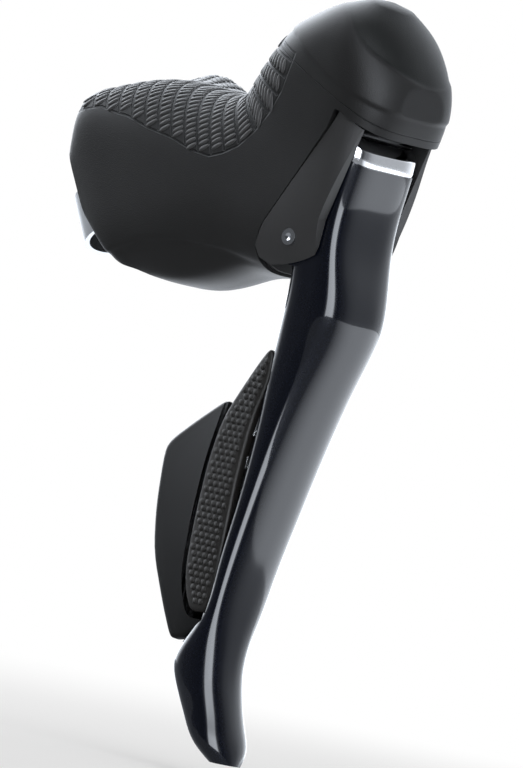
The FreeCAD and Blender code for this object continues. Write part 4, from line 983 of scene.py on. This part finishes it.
def widened(corners, gap):
    """Closed outline moved outward by a gap."""
    line = np.asarray(corners, float)
    ahead = np.roll(line, -1, axis=0) - line
    area = np.sum(line[:, 0] * np.roll(line[:, 1], -1) - np.roll(line[:, 0], -1) * line[:, 1])
    normal = np.stack([ahead[:, 1], -ahead[:, 0]], axis=1) * np.sign(area)
    normal /= np.linalg.norm(normal, axis=1)[:, None]
    before = np.roll(normal, 1, axis=0)
    mean = normal + before
    mean /= np.linalg.norm(mean, axis=1)[:, None]
    grow = gap / np.clip(np.sum(mean * normal, axis=1), 0.5, 1)
    return line + mean * grow[:, None]


def paint_material():
    return shader("blade_paint", colours().blade, 0.3, grain=0.5, bump=0.0015, spread_by=0.25,
                  rough_spread=0.05, Coat_Weight=1.0, Coat_Roughness=0.06, Coat_IOR=1.5,
                  Specular_IOR_Level=0.1)


def make_trim():
    """Plated trim: a wall round the blade's front with an inward slope above it."""
    low_ring, high_ring = blade_rings(TRIM_LEVELS, TRIM_SPOKES)
    foot = curve_at(TRIM_FOOT)
    crown = curve_at(TRIM_CROWN)
    bevel = sizes().trim_bevel / MM
    loops = [[] for _ in TRIM_PROFILE]
    for step in range(-TRIM_SIDE, TRIM_SIDE + 1):
        x = low_ring[step][0] * (1 - TRIM_MIX) + high_ring[step][0] * TRIM_MIX - PIVOT.x
        low = foot(x)
        high = crown(x)
        if x < TRIM_CROWN[-1][0] or high - low < TRIM_LEAST:
            continue
        tangent = low_ring[step + 1 if step < TRIM_SIDE else 0] - low_ring[step - 1]
        inward = np.array((-tangent[1], tangent[0], 0.0))
        inward /= np.linalg.norm(inward)
        for loop, (share, depth, bevel_share) in zip(loops, TRIM_PROFILE):
            height = low + (high - low) * share
            part = (height - TRIM_LEVELS[0]) / (TRIM_LEVELS[1] - TRIM_LEVELS[0])
            sunk = inward * (depth + bevel_share * bevel)
            loop.append(low_ring[step] * (1 - part) + high_ring[step] * part + sunk)
    grid = np.array(loops)
    rows, count = grid.shape[:2]
    verts = [tuple(point) for point in grid.reshape(-1, 3) * MM]
    faces = [(r * count + i, r * count + i + 1, (r + 1) * count + i + 1, (r + 1) * count + i)
             for r in range(rows - 1) for i in range(count - 1)]
    for row in (0, rows - 1):
        line = [row * count + i for i in range(count)]
        faces += [(line[i], line[-1 - i], line[-2 - i], line[i + 1]) for i in range(count // 2)
                  if line[i + 1] != line[-2 - i] and i + 1 < count - 2 - i]
    rear = [(row * count, (row + 1) * count, (row + 2) * count - 1, (row + 1) * count - 1)
            for row in range(rows - 1)]
    mesh = bpy.data.meshes.new("trim_cap")
    mesh.from_pydata(verts, [], faces + rear)
    close_holes(mesh)
    trim = new_piece("trim_cap", mesh)
    mesh.shade_smooth()
    mesh.set_sharp_from_angle(angle=math.radians(50))
    mesh.materials.append(shader("chrome_trim", colours().trim, 0.09, metallic=1.0, grain=0.6,
                                 bump=0.001, spread_by=0.04, rough_spread=0.04))
    return finish_piece(trim, "lever", "chrome_trim", "top_trim")


def close_holes(mesh):
    work = bmesh.new()
    work.from_mesh(mesh)
    bmesh.ops.remove_doubles(work, verts=work.verts, dist=1e-7)
    bmesh.ops.holes_fill(work, edges=[edge for edge in work.edges if edge.is_boundary])
    bmesh.ops.recalc_face_normals(work, faces=work.faces)
    work.to_mesh(mesh)
    work.free()


def curve_at(points):
    """Height of a line of points at a place, in side view."""
    ordered = sorted(points)
    xs = [p[0] for p in ordered]
    zs = [p[1] for p in ordered]
    return lambda x: float(np.interp(x, xs, zs))


# ---------------------------------------------------------------- shift buttons

def button_mesh(name, corners, inset):
    """Plate of a button with a softly crowned outer face, in its leaning frame."""
    line = rounded(corners)
    loops = []
    for shrink, depth in BUTTON_EDGE:
        loop = widened(line, shrink) if shrink else line
        loops.append(np.stack([loop[:, 0], np.full(len(loop), inset + depth), loop[:, 1]], axis=1))
    count = len(line)
    work = bmesh.new()
    verts = [[work.verts.new(Vector(p) * MM) for p in loop] for loop in loops]
    for low, high in zip(verts, verts[1:]):
        for i in range(count):
            work.faces.new((low[i], high[i], high[(i + 1) % count], low[(i + 1) % count]))
    work.faces.new(verts[0])
    work.faces.new(verts[-1])
    bmesh.ops.recalc_face_normals(work, faces=work.faces)
    mesh = bpy.data.meshes.new(name)
    work.to_mesh(mesh)
    work.free()
    return mesh


def eye_meshes(places, low, rear):
    """Arms and eyes round the pin."""
    half = EYE_LENGTH / 2
    parts = []
    for middle in places:
        arm = upright_box((rear, middle - half), (PIN_X, middle + half))
        parts.append(prism("arm", arm, low, PIN_DEPTH + EYE_OVERLAP * PIN_EYE))
        ring = [(PIN_X + x, PIN_DEPTH + y) for x, y in disc_outline(PIN_EYE, count=24)]
        verts = [(x * MM, y * MM, z * MM) for z in (middle - half, middle + half) for x, y in ring]
        eye = bpy.data.meshes.new("eye")
        eye.from_pydata(verts, [], tube_faces(len(ring)))
        face_outward(eye)
        parts.append(eye)
    return parts


def make_front_button():
    plate = button_mesh("front_paddle", FRONT_BUTTON, 0.0)
    whole = join("front_paddle", [plate] + eye_meshes(FRONT_EYES, PLATE / 2, PIN_X - PIN_EYE))
    whole.transform(button_place())
    paddle = new_piece("front_paddle", whole)
    whole.shade_smooth()
    whole.set_sharp_from_angle(angle=math.radians(40))
    whole.materials.append(shader("grip_plastic", colours().front_button, 0.5, grain=0.4,
                                  bump=0.03, spread_by=0.2, Specular_IOR_Level=0.3))
    finish_piece(paddle, "front_button", "grip_plastic", "front_button")

    pitch = sizes().scale_pitch / MM
    line = tuple(map(tuple, rounded(FRONT_BUTTON)))
    spots = []
    for row in range(*SCALE_ROWS):
        for column in range(*SCALE_COLUMNS):
            x = (column + 0.5 * (row % 2)) * pitch * SCALE_PITCHES[0]
            z = row * pitch * SCALE_PITCHES[1]
            if side_distance(np.array([x]), np.array([z]), line)[0] < -SCALE_EDGE:
                spots.append((x, SCALE_SINK, z))
    mesh = bpy.data.meshes.new("front_scales")
    mesh.from_pydata([tuple(np.array(s) * MM) for s in spots], [], [])
    mesh.transform(button_place())
    lean = button_place().to_3x3()
    up = lean @ Vector(SCALE_UP).normalized()
    run = lean @ Vector(SCALE_RUN).normalized()
    for name, value in (("up", up), ("run", run)):
        store = mesh.attributes.new(name, "FLOAT_VECTOR", "POINT")
        store.data.foreach_set("vector", np.tile(np.array(value, np.float32), len(spots)))
    reach = mesh.attributes.new("reach", "FLOAT", "POINT")
    reach.data.foreach_set("value", np.full(len(spots), pitch * SCALE_LENGTH * MM, np.float32))
    scales = new_piece("front_scales", mesh)
    scatter(scales, whole.materials[0], pitch * SCALE_WIDTH * MM, sizes().scale_height)
    return finish_piece(scales, "front_button", "grip_plastic")


def make_rear_button():
    plate = button_mesh("rear_paddle", REAR_BUTTON, REAR_INSET)
    half = EYE_LENGTH / 2
    risers = []
    for middle in REAR_EYES:
        riser = upright_box((RISER[0], middle - half), (RISER[1], middle + half))
        risers.append(prism("riser", riser, REAR_INSET + RISER_ROOT, ARM_DEPTH + RISER_REACH))
    whole = join("rear_paddle", [plate] + risers + eye_meshes(REAR_EYES, ARM_DEPTH, RISER[0]))
    whole.transform(button_place())
    paddle = new_piece("rear_paddle", whole)
    whole.shade_smooth()
    whole.set_sharp_from_angle(angle=math.radians(40))
    whole.materials.append(shader("button_plastic", colours().rear_button, 0.42, grain=0.35,
                                  bump=0.008, spread_by=0.08, Specular_IOR_Level=0.25))
    return finish_piece(paddle, "rear_button", "button_plastic", "rear_button")


# ---------------------------------------------------------------- carried-over pieces

def finish_hardware():
    tint = colours()
    wear(("bracket_body",), shader("bracket_plastic", tint.bracket, 0.5, grain=0.3, bump=0.02,
                                   spread_by=0.12))
    wear(("clamp_band", "clamp_nut", "axle_clip", "return_spring"),
         shader("steel", tint.steel, 0.34, metallic=1.0, grain=0.5, bump=0.004, spread_by=0.1))
    wear(("clamp_bolt", "box_screws", "trim_screw", "housing_screws", "reach_screw"),
         shader("black_steel", tint.black_steel, 0.4, metallic=0.6, grain=0.3, bump=0.005))
    wear(("lever_axle", "dome_switches", "button_pin"),
         shader("bright_steel", tint.bright_steel, 0.18, metallic=1.0, grain=0.3, bump=0.002,
                spread_by=0.05))
    wear(("casing_seat", "cable_hook"),
         shader("aluminium", tint.aluminium, 0.36, metallic=1.0, grain=0.3, bump=0.006))
    wear(("junction_box", "top_switch_housing", "top_button", "switch_housing"),
         shader("switch_plastic", tint.switch, 0.46, grain=0.3, bump=0.012))
    wear(("port_plugs", "stop_pad", "switch_seal"),
         shader("seal_rubber", tint.seal, 0.62, grain=0.3, bump=0.02))
    wear(("pivot_bushes",), shader("bush_bronze", tint.bronze, 0.4, metallic=1.0, grain=0.25,
                                   bump=0.02, spread_by=0.3))
    wear(("switch_board",), shader("board_green", tint.board, 0.25, grain=0.5, bump=0.004))


# ---------------------------------------------------------------- stage

def make_stage():
    scene = bpy.context.scene
    stage = scene.lever_stage
    scene.view_settings.view_transform = "Standard"

    ground = CAD_BOX[0][2] - FLOOR_DROP
    mesh = bpy.data.meshes.new("floor")
    corners = disc_outline(FLOOR_RADIUS, count=96)
    mesh.from_pydata([(x * MM, y * MM, ground) for x, y in corners], [],
                     [tuple(range(len(corners)))])
    floor = new_piece("floor", mesh)
    mesh.materials.append(floor_material(stage.floor))
    scene.world = studio_world(stage.fill)

    aim = VIEW_AIM * MM
    toward = VIEW_TOWARD.normalized()
    right = VIEW_UPWARD.cross(toward).normalized()
    upward = toward.cross(right).normalized()
    camera = bpy.data.cameras.new("camera")
    camera.lens = camera.sensor_width * stage.distance / stage.view_height
    camera.clip_end = 100
    viewer = bpy.data.objects.new("camera", camera)
    scene.collection.objects.link(viewer)
    pose = Matrix((right, upward, toward)).transposed().to_4x4()
    viewer.matrix_world = Matrix.Translation(aim + toward * stage.distance) @ pose
    scene.camera = viewer

    for name, direction, distance, size, power in LAMPS:
        soft_light(name, aim, Vector(direction), distance, size, power)


def studio_world(fill):
    """Even fill, a white background, and softboxes that only glossy surfaces show."""
    world = bpy.data.worlds.new("studio")
    world.use_nodes = True
    tree = world.node_tree
    way = add(tree, "ShaderNodeTexCoord").outputs["Generated"]
    parts = add(tree, "ShaderNodeSeparateXYZ", {0: way}).outputs
    bearing = math_node(tree, "ARCTAN2", parts["Y"], parts["X"])
    around = map_range(tree, bearing, -math.pi, math.pi)
    wall = add(tree, "ShaderNodeValToRGB", {"Fac": around})
    draw_levels(wall.color_ramp, STUDIO_WALL)
    level = math_node(tree, "MULTIPLY", wall.outputs["Color"], 10.0)
    upright = map_range(tree, math_node(tree, "ABSOLUTE", parts["Z"]), 0.9, 0.5)
    level = math_node(tree, "MULTIPLY", level, upright)
    facing = add(tree, "ShaderNodeVectorMath", {0: way, 1: Vector(STUDIO_ROOF).normalized()},
                 operation="DOT_PRODUCT").outputs["Value"]
    roof = map_range(tree, facing, 0.66, 0.9, 0.0, STUDIO_ROOF_LEVEL,
                     interpolation_type="SMOOTHSTEP")
    level = math_node(tree, "ADD", level, roof)
    path = add(tree, "ShaderNodeLightPath").outputs
    shown = add(tree, "ShaderNodeMix", {0: path["Is Glossy Ray"], 2: fill})
    tree.links.new(level, shown.inputs[3])
    seen = math_node(tree, "MAXIMUM", path["Is Camera Ray"], path["Is Transmission Ray"])
    total = add(tree, "ShaderNodeMix", {0: seen, 3: 1.0})
    tree.links.new(shown.outputs[0], total.inputs[2])
    back = tree.nodes["Background"]
    cool = add(tree, "ShaderNodeMix", {"Factor": path["Is Glossy Ray"]}, data_type="RGBA")
    cool.inputs[6].default_value = WHITE
    cool.inputs[7].default_value = COOL
    tree.links.new(cool.outputs[2], back.inputs["Color"])
    tree.links.new(total.outputs[0], back.inputs["Strength"])
    return world


def draw_levels(ramp, levels):
    """Grey levels at bearings in degrees, as stops of a colour ramp."""
    ramp.interpolation = "EASE"
    while len(ramp.elements) < len(levels):
        ramp.elements.new(0.5)
    for stop, (bearing, level) in zip(ramp.elements, levels):
        stop.position = (bearing + 180.0) / 360.0
    for stop, (bearing, level) in zip(ramp.elements, levels):
        stop.color = (level / 10.0,) * 3 + (1.0,)


def soft_light(name, aim, direction, distance, size, power):
    light = bpy.data.lights.new(name, "AREA")
    light.size = size
    light.energy = power
    lamp = bpy.data.objects.new(name, light)
    lamp.visible_glossy = False
    bpy.context.scene.collection.objects.link(lamp)
    toward = direction.normalized()
    lamp.matrix_world = (Matrix.Translation(aim + toward * distance)
                         @ toward.to_track_quat("Z", "Y").to_matrix().to_4x4())


def floor_material(tint):
    """Pale floor that runs out into the white background; glossy rays see a painted glow on it
    instead, cool and brighter towards +Y.
    """
    material = bpy.data.materials.new("floor")
    material.use_nodes = True
    tree = material.node_tree
    tree.nodes.clear()
    out = tree.nodes.new("ShaderNodeOutputMaterial")
    matte = add(tree, "ShaderNodeBsdfDiffuse", {"Color": (*tint, 1)})
    glow = add(tree, "ShaderNodeEmission", {"Color": WHITE, "Strength": 1.0})
    place = add(tree, "ShaderNodeTexCoord").outputs["Object"]
    away = add(tree, "ShaderNodeVectorMath", {0: place}, operation="LENGTH").outputs["Value"]
    fade = map_range(tree, away, *FLOOR_FADE, interpolation_type="SMOOTHSTEP")
    path = add(tree, "ShaderNodeLightPath").outputs
    share = math_node(tree, "MULTIPLY", fade, path["Is Camera Ray"])
    mixed = add(tree, "ShaderNodeMixShader", {0: share, 1: matte.outputs[0], 2: glow.outputs[0]})
    # Painted glow for glossy rays only: the floor is no lamp, yet it shows as a bright reflection,
    # brighter towards +Y.
    aside = add(tree, "ShaderNodeSeparateXYZ", {0: place}).outputs["Y"]
    level = map_range(tree, math_node(tree, "DIVIDE", aside, away), 0.2, 0.95, 0.3, 3.4)
    painted_glow = add(tree, "ShaderNodeEmission", {"Color": COOL, "Strength": level})
    total = add(tree, "ShaderNodeMixShader", {0: path["Is Glossy Ray"], 1: mixed.outputs[0],
                                              2: painted_glow.outputs[0]})
    tree.links.new(total.outputs[0], out.inputs[0])
    return material


# ---------------------------------------------------------------- operators and panel

class Builder:
    """Runs an operator's own makers in order."""
    makers = ()

    def execute(self, context):
        for make in self.makers:
            make()
        return {"FINISHED"}


class LEVER_OT_hood(Builder, bpy.types.Operator):
    """Rubber hood with its seams, knob and edges"""
    bl_idname = "lever.hood"
    bl_label = "Hood"
    makers = (make_hood,)


class LEVER_OT_ribs(Builder, bpy.types.Operator):
    """Raised ribs of the hood's grip"""
    bl_idname = "lever.ribs"
    bl_label = "Grip ribs"
    makers = (make_ribs,)


class LEVER_OT_blade(Builder, bpy.types.Operator):
    """Painted lever blade"""
    bl_idname = "lever.blade"
    bl_label = "Blade"
    makers = (make_blade,)


class LEVER_OT_trim(Builder, bpy.types.Operator):
    """Plated trim at the blade's top"""
    bl_idname = "lever.trim"
    bl_label = "Trim"
    makers = (make_trim,)


class LEVER_OT_buttons(Builder, bpy.types.Operator):
    """Front and rear shift buttons"""
    bl_idname = "lever.buttons"
    bl_label = "Shift buttons"
    makers = (make_front_button, make_rear_button)


class LEVER_OT_hardware(Builder, bpy.types.Operator):
    """Finishes of the bracket, clamp, axle, switches and screws"""
    bl_idname = "lever.hardware"
    bl_label = "Hardware"
    makers = (finish_hardware,)


class LEVER_OT_stage(Builder, bpy.types.Operator):
    """Floor, background, lamps and camera"""
    bl_idname = "lever.stage"
    bl_label = "Stage"
    makers = (make_stage,)


OPERATORS = (LEVER_OT_stage, LEVER_OT_hardware, LEVER_OT_hood, LEVER_OT_ribs, LEVER_OT_blade,
             LEVER_OT_trim, LEVER_OT_buttons)


class LEVER_PT_panel(bpy.types.Panel):
    """Lists the lever's sizes, colours and pieces"""
    bl_label = "Brake shift lever"
    bl_idname = "LEVER_PT_panel"
    bl_space_type = "VIEW_3D"
    bl_region_type = "UI"
    bl_category = "Lever"

    def draw(self, context):
        layout = self.layout
        for group in (context.scene.lever_sizes, context.scene.lever_colours,
                      context.scene.lever_stage):
            box = layout.box()
            for name in group.__annotations__:
                box.prop(group, name)
        for operator in OPERATORS:
            layout.operator(operator.bl_idname)


CLASSES = (LeverSizes, LeverColours, LeverStage, *OPERATORS, LEVER_PT_panel)


def register():
    for item in CLASSES:
        bpy.utils.register_class(item)
    bpy.types.Scene.lever_sizes = PointerProperty(type=LeverSizes)
    bpy.types.Scene.lever_colours = PointerProperty(type=LeverColours)
    bpy.types.Scene.lever_stage = PointerProperty(type=LeverStage)


def unregister():
    del bpy.types.Scene.lever_stage
    del bpy.types.Scene.lever_colours
    del bpy.types.Scene.lever_sizes
    for item in reversed(CLASSES):
        bpy.utils.unregister_class(item)


def main():
    register()
    for operator in OPERATORS:
        group, name = operator.bl_idname.split(".")
        getattr(getattr(bpy.ops, group), name)()


if __name__ == "__main__":
    main()
